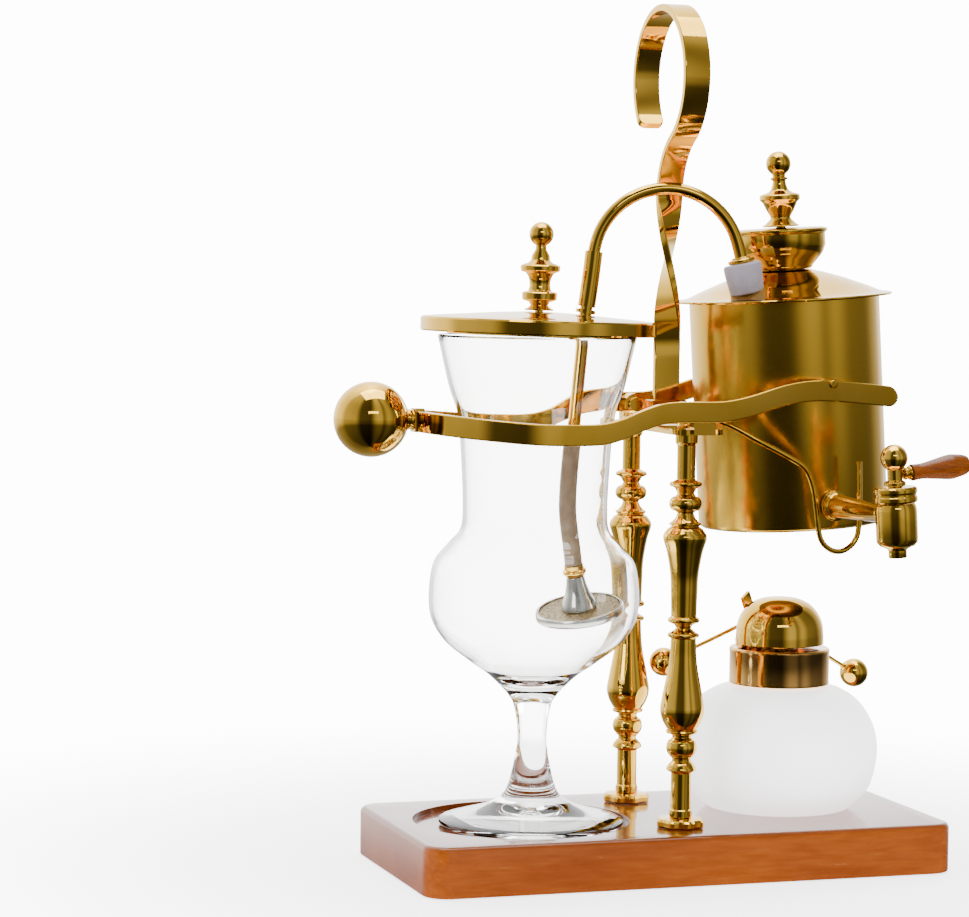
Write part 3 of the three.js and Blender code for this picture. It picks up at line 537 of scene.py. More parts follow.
def carrying_hook():
    """A flat strap with rounded edges that makes half a turn about itself, then a loop."""
    line = hook_line()
    distance = [0.0]
    for a, b in zip(line, line[1:]):
        distance.append(distance[-1] + (b - a).length)
    length = distance[-1]
    half_thickness = STRAP["thickness"] / 2
    edge = STRAP["edge"]
    tip_length, tip_share = 4, 0.7
    bm = bmesh.new()
    rings = []
    for i, point in enumerate(line):
        along = (line[min(i + 1, len(line) - 1)] - line[max(i - 1, 0)]).normalized()
        across = along.cross(Vector((1, 0, 0))).normalized()
        turned_part = (HOOK["low"] + distance[i] - STRAP["twist_from"]) / STRAP["twist_over"]
        twist = -math.pi * min(max(turned_part, 0), 1)
        from_tip = min((length - distance[i]) / tip_length, 1)
        rounding = tip_share + (1 - tip_share) * math.sqrt(1 - (1 - from_tip) ** 2)
        half_width = STRAP["width"] / 2 * rounding
        ring = []
        for wide, thick in rounded_outline(half_width - edge, half_thickness - edge, edge, 3):
            x = wide * math.cos(twist) - thick * math.sin(twist)
            up = wide * math.sin(twist) + thick * math.cos(twist)
            ring.append(bm.verts.new((point + Vector((STRAP["x"] + x, 0, 0)) + across * up) * MM))
        rings.append(ring)
    skin(bm, rings)
    finished(bm, "twisted_hook", GOLD, "frame", ["carry_hook"], sharp=50, bevel=0, flat=True)


def stay():
    """A bent wire out from the bridge, ending in an open loop round the tap's stem."""
    points = [
        (10.3, -50, 238), (13, -50.3, 237.6), (21, -52.5, 234.4), (33, -57, 227.5), (48, -61, 219.5),
        (57, -62, 213.5), (61.5, -62, 204), (63.5, -62, 194), (65.1, -62, 182), (67.5, -62, 175.3),
        (72, -62, 171.4), (76.5, -62, 170.3), (81, -62, 171.4), (85.5, -62, 175.3), (87.8, -62, 182),
        (88, -62, 199), (87.5, -62, 217),
    ]
    tube("bent_stay", spline(points, 8), 1.45, GOLD, "frame", replaced=["stay_wire"])


def brewing_glass():
    """A goblet on a solid stem, its wall about two millimetres thick."""
    bowl = flowing(
        [(44, 27.5), (27, 32.4), (18.2, 36.8), (13, 42.6), (9.4, 56), (7.6, 69.5), (9.4, 84.8), (13.3, 92.5),
         (22.9, 102.2), (33.4, 109.7), (47.4, 121.2), (54.7, 136.4), (53.2, 159.5), (45.4, 170.7),
         (39.1, 178.3), (37.8, 189.9), (39.1, 218.3), (41.2, 239), (45.9, 253.5), (51.8, 279)], 8,
    )
    outer = [
        (0, 33), (9, 31.6), (18, 29.8), (28, 27.6), (38, 25.2), (45.5, 23.4), (47.6, 23.6), (48.5, 24.8),
        (48.2, 26.2), (46.6, 27), *bowl, (51.5, 279.8), (51, 280), (50.4, 279.8),
    ]
    inner = flowing(
        [(50, 279), (44, 254.2), (39.2, 239.3), (37.1, 218.4), (35.8, 189.9), (37, 177.6), (43.4, 169.5),
         (51, 158.9), (52.6, 136.4), (45.6, 122.4), (32, 111.5), (20, 103.6), (9, 100.2), (0, 99.5)], 8,
    )
    profile, replaced = [*outer, *inner], ["glass_goblet"]
    turned("blown_goblet", profile, ON_GLASS, GLASS, "frame", replaced, sides=96, bevel=0)


def goblet_lid():
    """A shallow domed lid with a deep edge band and a hole for the siphon."""
    radius = GLASS_LID["radius"]
    over = [
        (58.6, 0.2), (60, 0), (61, 0), (radius, 0.7), (radius, 6.6), (60.9, 7.5), (59.5, 7.8), (50, 8.6),
        (40, 9.3), (20, 10.8), (0, 11.7),
    ]
    under = [
        (0, 10.4), (20, 9.6), (40, 8), (46.8, 7.4), (46.8, -1), (47.8, -1), (47.8, 0.9), (53.4, 0.9),
        (53.4, 6.7), (58.6, 6.1), (58.6, 0.2),
    ]
    profile = [*over, *under]
    lid = turned("goblet_lid", profile, ON_GLASS_LID, GOLD, "frame", replaced=["glass_lid"], sides=128)
    hole = ON_GLASS_LID @ shift(LID_HOLE["x"], LID_HOLE["y"], 10)
    cut_out(lid, punch(LID_HOLE["radius"], 40, 48), hole)


def lid_knob():
    profile = [
        (0, 5.4), (2.2, 5.4), (2.2, 12), (7.5, 12), (7.6, 12.8), (5.8, 13.6), (4.6, 14.8), (5.6, 16.4),
        (8.6, 17.4), (9.1, 17.9), (9.2, 21), (8.7, 21.6), (6.4, 22.2),
        *flowing([(5.9, 22.8), (5.4, 25.6), (6, 29), (7.4, 31.4)]), (9.6, 32.2), (10.3, 32.8), (10.4, 35),
        (9.8, 35.7), (6.4, 36.8), (5, 38.2), (4.7, 40.6), (3, 43.6), (2.8, 45.8), *ball_end(2.8, 6.4, 51.6),
    ]
    turned("goblet_knob", profile, ON_GLASS_LID, GOLD, "frame", replaced=["lid_knob"])


def base_board():
    """A lacquered board with rounded corners and edges, and a round recess for the goblet."""
    height, corner, edge = BOARD["height"], BOARD["corner"], BOARD["edge"]
    across, along = BOARD["length"] / 2 - corner, BOARD["depth"] / 2 - corner
    levels = [(0.8, 0), (0.25, 0.25), (0, 0.8)]
    for degrees in range(0, 91, 15):
        angle = math.radians(degrees)
        levels.append((edge * (1 - math.cos(angle)), height - edge * (1 - math.sin(angle))))
    bm = bmesh.new()
    rings = []
    for inset, level in levels:
        outline = rounded_outline(across, along, corner - inset, 12)
        rings.append([bm.verts.new(Vector((x, y, level)) * MM) for x, y in outline])
    skin(bm, rings)
    board = finished(bm, "lacquered_board", WOOD, "frame", ["base_board"], bevel=0)
    cutter_height = 12
    place = shift(RECESS["x"], 0, RECESS["floor"] + cutter_height / 2)
    cut_out(board, punch(RECESS["radius"], cutter_height, 128), place)


def frame_pieces():
    base_board()
    columns()
    carried("bridge", GOLD, bevel=0.5)
    carried("hook_foot", GOLD, bevel=0.5)
    carrying_hook()
    stay()
    brewing_glass()
    goblet_lid()
    lid_knob()
    carried("lid_nut", GOLD, bevel=0.3)


# ---- Beam ----
BAR_LINE = spline(
    [
        (-140, 236.4), (-133, 235.4), (-112, 233.3), (-88, 231.4), (-68, 231), (-53, 231.4), (-42, 234),
        (-32, 238), (-22, 241.3), (-12, 242.5), (10, 242.6), (20, 243.8), (30, 246.2), (47, 251.2),
        (62.7, 253.4), (81, 252.8), (104.6, 250.6), (116, 249.4),
    ], 12,
)


def bar_height(x):
    """Height of the bar's middle: low round the goblet, high at the boiler."""
    for first, second in zip(BAR_LINE, BAR_LINE[1:]):
        if first.x <= x <= second.x:
            part = (x - first.x) / (second.x - first.x)
            return first.y + (second.y - first.y) * part
    return BAR_LINE[-1].y


def bar_plan():
    """Places and outward directions along the rear bar's middle, seen from above."""
    y, bend_x, start = BEAM["y"], BEAM["bend_x"], BEAM["start"]
    plan = []
    for i in range(49):
        angle = math.radians(start + (90 - start) * i / 48)
        nx, ny = -math.cos(angle), math.sin(angle)
        plan.append(((bend_x + y * nx, y * ny), (nx, ny)))
    straight = BEAM["end"] - bend_x
    cap = BEAM["height"] / 2
    evenly = [straight * i / 90 for i in range(1, 90)]
    reaches = [reach for reach in evenly if reach < straight - cap]
    reaches += [straight - cap + cap * math.sin(math.radians(degrees)) for degrees in range(0, 82, 9)]
    reaches.append(straight - 0.05)
    return plan + [((bend_x + reach, y), (0, 1)) for reach in reaches]


def beam_arm(name, side):
    """A flat bar bent round the goblet, then straight past the boiler to a rounded end."""
    cap = BEAM["height"] / 2
    half_thickness = BEAM["thickness"] / 2
    bm = bmesh.new()
    rings = []
    for (x, across), (nx, ny) in bar_plan():
        past = max(x - (BEAM["end"] - cap), 0)
        half_height = math.sqrt(max(cap * cap - past * past, 0.3))
        edge = min(0.7, half_height * 0.5)
        ring = []
        for wide, up in rounded_outline(half_thickness - edge, half_height - edge, edge, 3):
            point = Vector((x + nx * wide, side * (across + ny * wide), bar_height(x) + up))
            ring.append(bm.verts.new(point * MM))
        rings.append(ring)
    skin(bm, rings)
    arm = finished(bm, f"bent_bar_{name}", GOLD, "beam", [f"beam_arm_{name}"], sharp=50, bevel=0)
    reach, deep, rise = TRUNNION_RADIUS + GAP, 20, 9
    seat = shift(TRUNNION.x, side * BEAM["y"], TRUNNION.z)
    cut_out(arm, punch(reach, deep, 32), seat @ turn(90, "X"))
    mouth = bmesh.new()
    add_block(mouth, (-reach, -deep / 2, 0), (reach, deep / 2, rise), Matrix.Identity(4))
    cut_out(arm, mouth, seat)
    arm.modifiers.clear()
    flatten_normals(arm)


def beam_pieces():
    beam_arm("front", -1)
    beam_arm("rear", 1)
    carried("beam_yoke_block", GOLD)
    radius = BALL["radius"]
    angles = [math.radians(degrees) for degrees in range(0, 165, 4)]
    ball = [(radius * math.sin(angle), -radius * math.cos(angle)) for angle in angles]
    neck = [(5.6, 19.6), (5, 20.2), (5, 21.6), (5.6, 22), (0, 22)]
    place = shift(BALL["x"], 0, BALL["z"]) @ ALONG_X
    turned("ball_weight", [*ball, *neck], place, GOLD, "beam", replaced=["counterweight_ball"], sides=72)
    for side, name in ((-1, "front"), (1, "rear")):
        profile = [(0, 44.5), (3.9, 44.5), (3.9, 45.6), (3, 45.6), (3, 57.9), (0, 57.9)]
        place = Matrix.Translation(PIVOT) @ turn(-90 * side, "X")
        turned(f"turned_pin_{name}", profile, place, GOLD, "beam", replaced=[f"pivot_pin_{name}"], sides=32)


# ---- Boiler ----
def boiler_pieces():
    r = BOILER_RADIUS
    shell = [
        (0, -76.4), (20, -76.4), (24, -77), (r - 3.4, -77), (r - 1.5, -76.6), (r - 0.4, -75.6), (r, -74),
        (r, 43), (r - 0.5, 43), (r - 0.5, -73.9), (r - 3.4, -76.5), (24, -76.5), (20, -75.9), (0, -75.9),
    ]
    turned("spun_boiler", shell, ON_BOILER, SATIN, "boiler", ["boiler_shell"], sides=128)
    lid = [
        (12.3, 57.9), (12.3, 58.5), (14, 58.6), (22, 56.6), (33, 53), (44, 48.7), (51, 45.6), (55.6, 44.5),
        *bead(43.3, 44.6, 56.8, 57.4, 5)[::-1], (49.4, 43.5), (49.4, 40), (48.8, 40), (48.8, 45.8), (44, 48),
        (33, 52.4), (22, 56), (12.3, 57.9),
    ]
    turned("domed_lid", lid, ON_BOILER, GOLD, "boiler", replaced=["boiler_lid"], sides=128)
    for side, name in ((-1, "front"), (1, "rear")):
        profile = [(0, 46.6), (5, 46.6), (5, 49.2), (2.1, 49.2), (2.1, 60.2), (1.7, 60.6), (0, 60.6)]
        place = ON_BOILER @ turn(-90 * side, "X")
        replaced = [f"trunnion_{name}"]
        turned(f"turned_trunnion_{name}", profile, place, GOLD, "boiler", replaced=replaced, sides=32)


def filler_cap():
    cap = [
        (2.8, 80.4), (22.3, 79.6), (22.6, 70.7), (20, 65.6), (15, 59.6), (10.8, 59.6), (10.8, 54),
        (11.6, 54), (11.6, 58.9), (15, 58.9), (15.8, 59.6),
        *flowing([(16, 60.4), (18.2, 63), (21.6, 67), (23.3, 71.4)]), (23.3, 77.6),
        *bead(78.2, 80.2, 23.9, 24.6, 6), (22, 80.7), (21, 80.3), (12, 80.9), (2.8, 81.2), (2.8, 80.4),
    ]
    turned("bowl_cap", cap, ON_BOILER, GOLD, "filler_cap", replaced=["filler_cap"], sides=96)
    knob = [
        (0, 74), (2.5, 74), (2.5, 81.5), (9.9, 81.5), (9.7, 82.2),
        *flowing([(8.6, 82.8), (6.2, 85), (5.4, 86.6), (6.6, 89), (8, 91.6), (9.2, 94.4)]), (10.2, 95.2),
        (10.8, 96), (10.7, 98), (10, 98.7), *flowing([(6.8, 99.6), (4.9, 101), (3.8, 103.6), (3.4, 106)]),
        (4.6, 106.6), (4.6, 107.4), (3.4, 108), (3.4, 108.6), *ball_end(3.4, 6.6, 114.9),
    ]
    turned("turned_cap_knob", knob, ON_BOILER, GOLD, "filler_cap", replaced=["cap_knob"])


# ---- Siphon ----
def siphon_point(along, z):
    """A point of the siphon's upright plane, a distance along it from the arch's middle."""
    angle = math.radians(ARCH["turn"])
    return Vector((ARCH["x"] + along * math.cos(angle), ARCH["y"] - along * math.sin(angle), z))


def arch_point(degrees):
    angle = math.radians(degrees)
    return siphon_point(ARCH["radius"] * math.cos(angle), ARCH["z"] + ARCH["radius"] * math.sin(angle))


def leg_point(x, z):
    """The point of the siphon's plane that has a given x."""
    return siphon_point((x - ARCH["x"]) / math.cos(math.radians(ARCH["turn"])), z)


def stopper_leg_point(drop):
    """A point a distance down the straight leg that stands in the boiler."""
    angle = math.radians(ARCH["right"])
    along = ARCH["radius"] * math.cos(angle) + drop * math.sin(angle)
    return siphon_point(along, arch_point(ARCH["right"]).z - drop * math.cos(angle))


def siphon_line():
    """From the boiler's inside up the straight leg, over the arch and down the goblet's leg."""
    points = [stopper_leg_point(drop) for drop in (130, 60, 30, 15)]
    points += [arch_point(ARCH["right"] + 16 * i) for i in range(11)]
    legs = ((-40.8, 311), (-42.2, 300), (-43.6, 288), (-45.8, 262), (-48, 236), (-49.9, 214))
    return points + [leg_point(x, z) for x, z in legs]


def siphon_pieces():
    tube("arched_tube", spline(siphon_line(), 8), 3.3, GOLD, "boiler", replaced=["siphon_tube"], bore=2.3)
    sleeve = [leg_point(x, z) for x, z in ((-40.8, 311), (-42.2, 300), (-42.9, 295))]
    line = spline([arch_point(ARCH["left"]), *sleeve], 8)
    tube("leg_sleeve", line, 4.65, GOLD, "boiler", replaced=["siphon_sleeve"], bore=3.8)
    ring = [leg_point(x, z) for x, z in ((-43.1, 293.6), (-43.25, 292.6), (-43.4, 291.6))]
    tube("leg_ring", ring, 5.2, GOLD, "boiler", bore=3.4, sides=32)
    drop = (arch_point(ARCH["right"]).z - STOPPER_Z) / math.cos(math.radians(ARCH["right"]))
    lean = turn(-ARCH["turn"], "Z") @ turn(-ARCH["right"], "Y")
    place = Matrix.Translation(stopper_leg_point(drop)) @ lean
    plug = [
        (3.6, 0), (8.6, 0), (9.6, -0.5), (10, -1.6), (9.9, -5), (9.1, -14), (8.9, -15.4), (8.2, -16.2),
        (6.4, -16.4), (6.4, -20), (3.6, -20), (3.6, 0),
    ]
    turned("silicone_stopper", plug, place, SILICONE, "boiler", ["stopper"], bevel=0.4)
    washer = [
        (3.6, 0.3), (6.6, 0.3), (7, 0.8), (7, 1.8), (6.6, 2.3), (5.2, 2.4), (4.6, 3.4), (3.6, 3.4),
        (3.6, 0.3),
    ]
    turned("stopper_washer", washer, place, GOLD, "boiler", replaced=["siphon_washer"], sides=48)


def filter_pieces():
    hose_line = [ON_FILTER @ Vector((0, 0, height)) for height in (26.4, 33, 40)]
    hose_line += [(-52.5, -6, 188), (-51.5, -3.6, 201), leg_point(-49.9, 214), leg_point(-48.95, 225)]
    tube("bent_hose", spline(hose_line, 8), 4.6, HOSE, "boiler", ["hose"], bore=3.9)
    coupling = [
        (3.3, 19.8), (5, 19.8), (5.4, 20.8), *bead(21.2, 23.2, 5.6, 6.2, 6), (5, 24), (5, 26), (3.3, 26),
        (3.3, 19.8),
    ]
    turned("ridged_coupling", coupling, ON_FILTER, GOLD, "boiler", replaced=["hose_coupling"], sides=40)
    stem = [
        (1.8, -2), (3, -2), (3, 2.1), (9.5, 2.1), (9.3, 3.6), (8.6, 6), (6.6, 10), (5.3, 15), (4.6, 19.4),
        (3, 19.4), (3, 38), (1.8, 38), (1.8, -2),
    ]
    turned("filter_cone", stem, ON_FILTER, STEEL, "boiler", ["filter_stem"], sides=40)
    dish = [
        (3.4, -2.3), (22.4, -2.3), *bead(-2.2, 2.4, 22.8, 23.5, 10), (21.7, 2.4), (21.7, 0.6), (3.4, 0.6),
        (3.4, -2.3),
    ]
    turned("filter_plate", dish, ON_FILTER, STEEL, "boiler", ["filter_dish"], sides=96)
    cloth = [(3.4, 0.9), (21.4, 0.9), (21.4, 1.7), (3.4, 1.8), (3.4, 0.9)]
    turned("filter_weave", cloth, ON_FILTER, CLOTH, "boiler", ["filter_mesh"], sides=96)


# ---- Tap ----
def tap_pieces():
    flange = [
        (3.3, 50.9), (8, 50.9), (8, 52.2), (7.2, 52.8), (6.9, 53), (6.9, 54.2), (6, 55), (5.8, 55.4),
        (3.3, 55.4), (3.3, 50.9),
    ]
    turned("stepped_flange", flange, TAP_BARREL, GOLD, "boiler", replaced=["tap_flange"])
    end = TAP_VALVE - 10.8
    stem = [
        (1.8, 47), (3, 47), (3, 55.7), (5.8, 55.7), (6.3, 56.4), (6.3, 57.6), (5.9, 58.6), (4.6, end - 5),
        *bead(end - 4.6, end - 2, 4.7, 5.4, 6), (5, end - 1.4), (5.4, end), (1.8, end), (1.8, 47),
    ]
    turned("tap_barrel", stem, TAP_BARREL, GOLD, "boiler", replaced=["tap_stem"], sides=48)
    body = [
        (0, -75), (2, -75), (2, -85), (4.4, -85), (4.6, -84.6), (4.6, -81), (6, -80), (8.8, -78.8),
        (10.2, -77.2), (10.5, -75.4), (10.5, -61), (10.2, -59), (9.4, -57.5), (3.7, -57.5), (3.7, -74.9),
        (0, -74.9),
    ]
    turned("valve_body", body, TAP_UPRIGHT, GOLD, "boiler", replaced=["tap_body"])
    collar = [
        (3.9, -57.2), (10.2, -57.2), (11, -56.4), (11, -54.4), (10.5, -53.8), (10.5, -52.6), (11, -52),
        (11, -50.2), (10.2, -49.2), (3.9, -49.2), (3.9, -57.2),
    ]
    turned("ribbed_collar", collar, TAP_UPRIGHT, GOLD, "boiler", replaced=["tap_collar"])
    plug = [
        (0, -74.6), (3.4, -74.6), (3.4, -48.7), (5.4, -48.7), (5.4, -47), (4.6, -46.4), (3.8, -46),
        (3.8, -41), *ball_end(3.8, 6.85, -34.8),
    ]
    turned("valve_plug", plug, TAP_UPRIGHT, GOLD, "tap_plug", replaced=["tap_plug"], sides=48)
    rod = [(0, 4.2), (1.6, 4.2), (1.6, 38), (0, 38)]
    turned("lever_rod", rod, LEVER, GOLD, "tap_plug", replaced=["tap_lever"], sides=24)
    ferrule = [(1.9, 5), (3, 5), (3.2, 6), (2.6, 6.8), (3, 7.4), *bead(7.6, 9, 3, 3.6, 6), (1.9, 9), (1.9, 5)]
    turned("lever_ferrule", ferrule, LEVER, GOLD, "tap_plug", replaced=["tap_ferrule"], sides=32)
    outer = flowing([(4.2, 9.3), (4, 15), (5, 22), (6.3, 30.5), (5.9, 35), (5.2, 38.6), (4.2, 40.8)], 6)
    grip = [(2, 9.3), *outer, (2, 41.3), (0, 41.4), (0, 38.3), (2, 38.3), (2, 9.3)]
    turned("wooden_grip", grip, LEVER, HANDLE_WOOD, "tap_plug", ["tap_handle"], sides=48)


# ---- Burner ----
def burner_pieces():
    bottle = [
        (0, 27.4), (29, 27.2), (33, 26.3), (36, 26.3),
        *flowing(
            [(38.5, 27), (43.5, 31.4), (50, 40), (53.4, 57), (51, 71.5), (43.5, 83.5), (34, 90),
             (26, 92.2)], 9,
        ),
        (21, 92.6), (20.4, 94), (20.4, 108), (18.4, 108), (18.4, 92.6),
        *flowing([(30, 88.4), (42, 81.6), (49, 70.6), (51.3, 57), (47.6, 40.2), (38, 29.8)], 8), (0, 29),
    ]
    turned(
        "frosted_bottle", bottle, ON_BURNER, FROSTED, "burner", ["burner_glass"],
        sides=96, bevel=0,
    )
    collar = [
        (5.4, 108.5), (20.8, 108.5), (20.8, 93.2), (26.8, 93.2), (26.9, 94), (26.8, 95), (26.8, 109.8),
        (27, 110.4), (27, 111.6), (26.2, 112.5), (5.4, 112.5), (5.4, 108.5),
    ]
    replaced = ["burner_collar"]
    band = turned("pressed_collar", collar, ON_BURNER, WARM_GOLD, "burner", replaced=replaced, sides=96)
    add_ears(band, [HINGE.x - 10, HINGE.x + 10], 2, 30)
    holder = [
        (3.4, 100), (5, 100), (5, 112.8), (9, 112.8), (9, 114), (6, 115), (4.8, 117), (4.6, 120.5),
        (3.4, 120.5), (3.4, 100),
    ]
    turned("turned_holder", holder, ON_BURNER, GOLD, "burner", replaced=["wick_holder"], sides=40)
    wick = [(0, 40), (2.8, 40), (2.9, 80), (3, 122), (2.6, 124), (1.4, 125), (0, 124.6)]
    turned("cotton_wick", wick, ON_BURNER, COTTON, "burner", ["wick"], sides=32)
    pin = [(0, -13), (1.2, -13), (1.5, -12.6), (1.5, 12.6), (1.2, 13), (0, 13)]
    place = Matrix.Translation(HINGE) @ ALONG_X
    turned("turned_hinge_pin", pin, place, GOLD, "burner", replaced=["hinge_pin"], sides=24)


def add_ears(piece, middles, half, from_y):
    """Adds rounded hinge ears about the snuffer's pin to a piece's mesh."""
    radius = 3.4
    angles = [math.radians(degrees) for degrees in range(-75, 91, 15)]
    outline = [(from_y - HINGE.y, -radius), (0, -radius)]
    outline += [(radius * math.cos(angle), radius * math.sin(angle)) for angle in angles]
    outline.append((from_y - HINGE.y, radius))
    bm = bmesh.new()
    bm.from_mesh(piece.data)
    for middle in middles:
        rings = []
        for x in (middle - half, middle + half):
            rings.append([bm.verts.new(Vector((x, HINGE.y + y, HINGE.z + z)) * MM) for y, z in outline])
        skin(bm, rings)
    bmesh.ops.recalc_face_normals(bm, faces=bm.faces)
    bm.to_mesh(piece.data)
    bm.free()
    shade(piece.data)


def snuffer_pieces():
    dome = [
        (22.4, 114.6), (23.6, 114.6), (23.6, 118),
        *flowing([(23.5, 120), (22.7, 126), (20.2, 131.4), (15.8, 136), (9.6, 138.8), (4, 139.5)]),
        (0, 139.6), (0, 138.2), (9, 137.4), (15, 134.8), (19.2, 130.4), (21.5, 125.6), (22.4, 119.8),
        (22.4, 114.6),
    ]
    cap = turned("thimble_dome", dome, ON_BURNER, GOLD, "snuffer", replaced=["snuffer"], sides=96)
    half = 5.5
    add_ears(cap, [HINGE.x], half, 27.5)
    bm = bmesh.new()
    bm.from_mesh(cap.data)
    add_block(bm, (-half, 28.4, 116), (half, 38, 129), shift(HINGE.x, 0, 0))
    catch = shift(63, 22, 131) @ turn(34, "Z") @ turn(-29, "Y")
    add_block(bm, (-3.6, -1, -4), (3.6, 1, 10), catch)
    bm.to_mesh(cap.data)
    bm.free()
    rod = [(20, 102.5), (46, 113.4), (67, 122.6), (74, 125.2), (82, 122.6), (105, 109), (131, 93.6)]
    line = spline([(x, HINGE.y, z) for x, z in rod], 8)
    tube("bent_yoke_rod", line, 1.1, GOLD, "snuffer", replaced=["yoke_rod"], sides=16)
    weight = [(0, -7.8), *ball_end(0.4, 7.8, 0)[:-2], (2.6, 7.4), (2.2, 8), (1.4, 8.2), (0, 8.2)]
    for name, x, z, lean in (("left", 19, 102.1, 67.3), ("right", 132, 93, -59.4)):
        place = shift(x, HINGE.y, z) @ turn(lean, "Y")
        replaced = [f"weight_ball_{name}"]
        turned(f"turned_weight_{name}", weight, place, GOLD, "snuffer", replaced=replaced, sides=48)


# ---- Studio, in metres and degrees ----
CAMERA = {"place": (-0.6038, -1.5575, 0.3201), "yaw": 18.04, "pitch": -3.64, "roll": 0.73, "lens": 117.56}
ROOM_TURN = math.radians(18)
# The room's brightness round about, from behind the object by its left and front to behind it again.
BANDS = (
    (0.0, 1.0), (0.08, 0.8), (0.2, 0.5), (0.27, 0.2), (0.36, 0.16), (0.42, 0.025), (0.5, 0.02),
    (0.57, 0.19), (0.595, 0.18), (0.62, 0.07), (0.66, 0.16), (0.72, 0.06), (0.8, 0.05), (0.87, 0.2),
    (0.92, 0.6), (1.0, 1.0),
)
# Its brightness from straight down to straight up.
LEVELS = ((0.0, 0.06), (0.35, 0.14), (0.46, 0.55), (0.52, 0.8), (0.8, 0.7), (1.0, 1.0))
# What glass shows, from sideways to straight behind the object.
THROUGH = ((0.35, 0.12), (0.8, 0.5), (0.97, 1.0))
WHITEOUT = 14.0
LAMP_TARGET = Vector((0, 0, 0.2))


def room():
    """White where the camera looks and through the glass; soft upright bands where metal mirrors it."""
    world = bpy.data.worlds.new("studio")
    bpy.context.scene.world = world
    world.use_nodes = True
    sky = Wiring(world.node_tree)
    ray = sky.node("LightPath").outputs
    direction = sky.node("TexCoord").outputs["Generated"]

    def toward(x, y, z=0.0):
        """How far the ray's direction points along another."""
        node = sky.node("VectorMath")
        node.operation = "DOT_PRODUCT"
        sky.feed(node.inputs[0], direction)
        sky.feed(node.inputs[1], (x, y, z))
        return node.outputs["Value"]

    def mixed(factor, first, second):
        return sky.node("MixRGB", Fac=factor, Color1=first, Color2=second).outputs["Color"]

    ahead = Vector((math.sin(ROOM_TURN), math.cos(ROOM_TURN)))
    angle = sky.worked_out("ARCTAN2", toward(ahead.y, -ahead.x), toward(-ahead.x, -ahead.y))
    around = sky.worked_out("ADD", sky.worked_out("DIVIDE", angle, 2 * math.pi), 0.5)
    bands = sky.ramp(around, *BANDS, easing="EASE")
    height = sky.worked_out("ADD", sky.worked_out("MULTIPLY", toward(0.0, 0.0, 1.0), 0.5), 0.5)
    dimming = sky.ramp(height, *LEVELS, easing="EASE")
    mirrored = sky.worked_out("MULTIPLY", sky.worked_out("MULTIPLY", bands, dimming), 5.0)
    bent = sky.ramp(toward(ahead.x, ahead.y), *THROUGH, easing="EASE")
    through = sky.worked_out("MULTIPLY", bent, WHITEOUT)
    earlier = sky.worked_out("ADD", ray["Diffuse Depth"], ray["Glossy Depth"])
    straight = sky.worked_out("SUBTRACT", 1.0, sky.worked_out("MINIMUM", earlier, 1.0))
    seen_through = sky.worked_out("MULTIPLY", ray["Is Transmission Ray"], straight)
    shown = mixed(seen_through, mirrored, through)
    colour = mixed(ray["Is Camera Ray"], shown, (WHITEOUT, WHITEOUT, WHITEOUT, 1))
    sky.feed(sky.tree.nodes["Background"].inputs["Color"], colour)


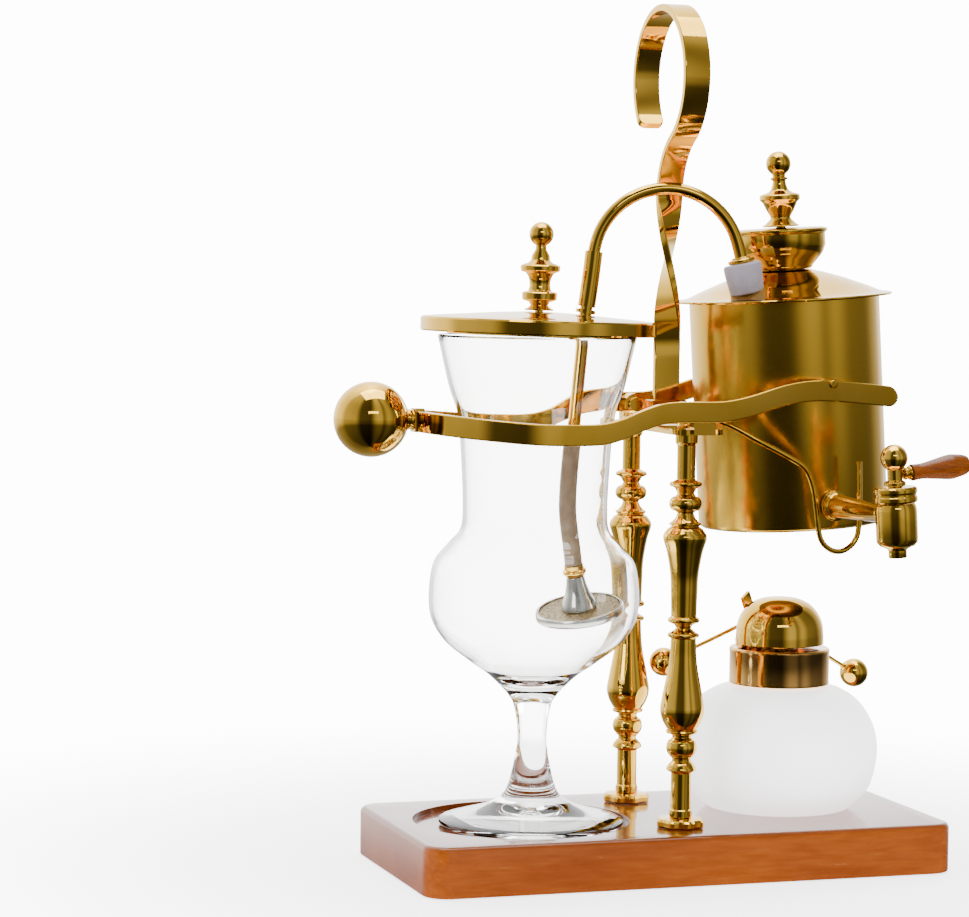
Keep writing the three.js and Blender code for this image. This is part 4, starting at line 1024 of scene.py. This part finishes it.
def paper_floor():
    """White paper under the object that fades out round it, just below the board."""
    paper = Finish("studio_paper", Specular_IOR_Level=0.05, Emission_Color=WHITE, Emission_Strength=3.0)
    stops = ((0.3, (0.93, 0.93, 0.93)), (0.7, (0.96, 0.96, 0.96)))
    paper.drive("Base Color", paper.ramp(paper.noise(3.0), *stops))
    paper.drive("Roughness", paper.ramp(paper.noise(5.0), (0.3, 0.7), (0.7, 0.8)))
    distance = paper.node("VectorMath", Vector=paper.place)
    distance.operation = "LENGTH"
    reach = distance.outputs["Value"]
    fade = paper.node("MapRange", Value=reach, From_Min=0.16, From_Max=0.62, To_Min=1.0, To_Max=0.0)
    fade.interpolation_type = "SMOOTHSTEP"
    paper.drive("Alpha", fade.outputs["Result"])
    bm = bmesh.new()
    bmesh.ops.create_grid(bm, x_segments=4, y_segments=4, size=4.0)
    mesh = bpy.data.meshes.new("studio_floor")
    bm.to_mesh(mesh)
    bm.free()
    mesh.materials.append(paper.material)
    floor = linked("studio_floor", mesh)
    floor.location.z = -0.0005
    floor.visible_glossy = False


def studio():
    paper_floor()
    room()
    for name, place, size, power in (
        ("left_softbox", (-1.5, -1.0, 0.9), (0.7, 1.5), 26),
        ("right_softbox", (1.6, -0.9, 0.8), (0.45, 1.5), 19),
        ("overhead", (0.0, -0.1, 1.9), (1.6, 1.1), 30),
        ("front_strip", (-0.5, -2.4, 1.3), (1.4, 0.3), 6),
        ("rear_left", (-1.0, 1.5, 0.9), (0.8, 1.4), 20),
        ("rear_right", (1.3, 1.3, 0.9), (0.6, 1.4), 18),
    ):
        light = bpy.data.lights.new(name, "AREA")
        light.shape = "RECTANGLE"
        light.size, light.size_y = size
        light.energy = power
        lamp = linked(name, light)
        lamp.location = place
        lamp.visible_glossy = name in ("overhead", "front_strip")
        lamp.rotation_euler = (LAMP_TARGET - Vector(place)).to_track_quat("-Z", "Y").to_euler()


def camera():
    yaw, pitch, roll = [math.radians(CAMERA[name]) for name in ("yaw", "pitch", "roll")]
    ahead = Vector((math.sin(yaw) * math.cos(pitch), math.cos(yaw) * math.cos(pitch), math.sin(pitch)))
    right = Vector((math.cos(yaw), -math.sin(yaw), 0))
    up = right.cross(ahead)
    level = math.cos(roll) * right + math.sin(roll) * up
    top = math.cos(roll) * up - math.sin(roll) * right
    lens = bpy.data.cameras.new("camera")
    lens.lens = CAMERA["lens"]
    lens.sensor_width = 36
    view = linked("camera", lens)
    axes = Matrix((level, top, -ahead)).transposed().to_4x4()
    view.matrix_world = Matrix.Translation(CAMERA["place"]) @ axes
    bpy.context.scene.camera = view


camera()
frame_pieces()
beam_pieces()
boiler_pieces()
filler_cap()
siphon_pieces()
filter_pieces()
tap_pieces()
burner_pieces()
snuffer_pieces()
studio()

bpy.context.view_layer.update()
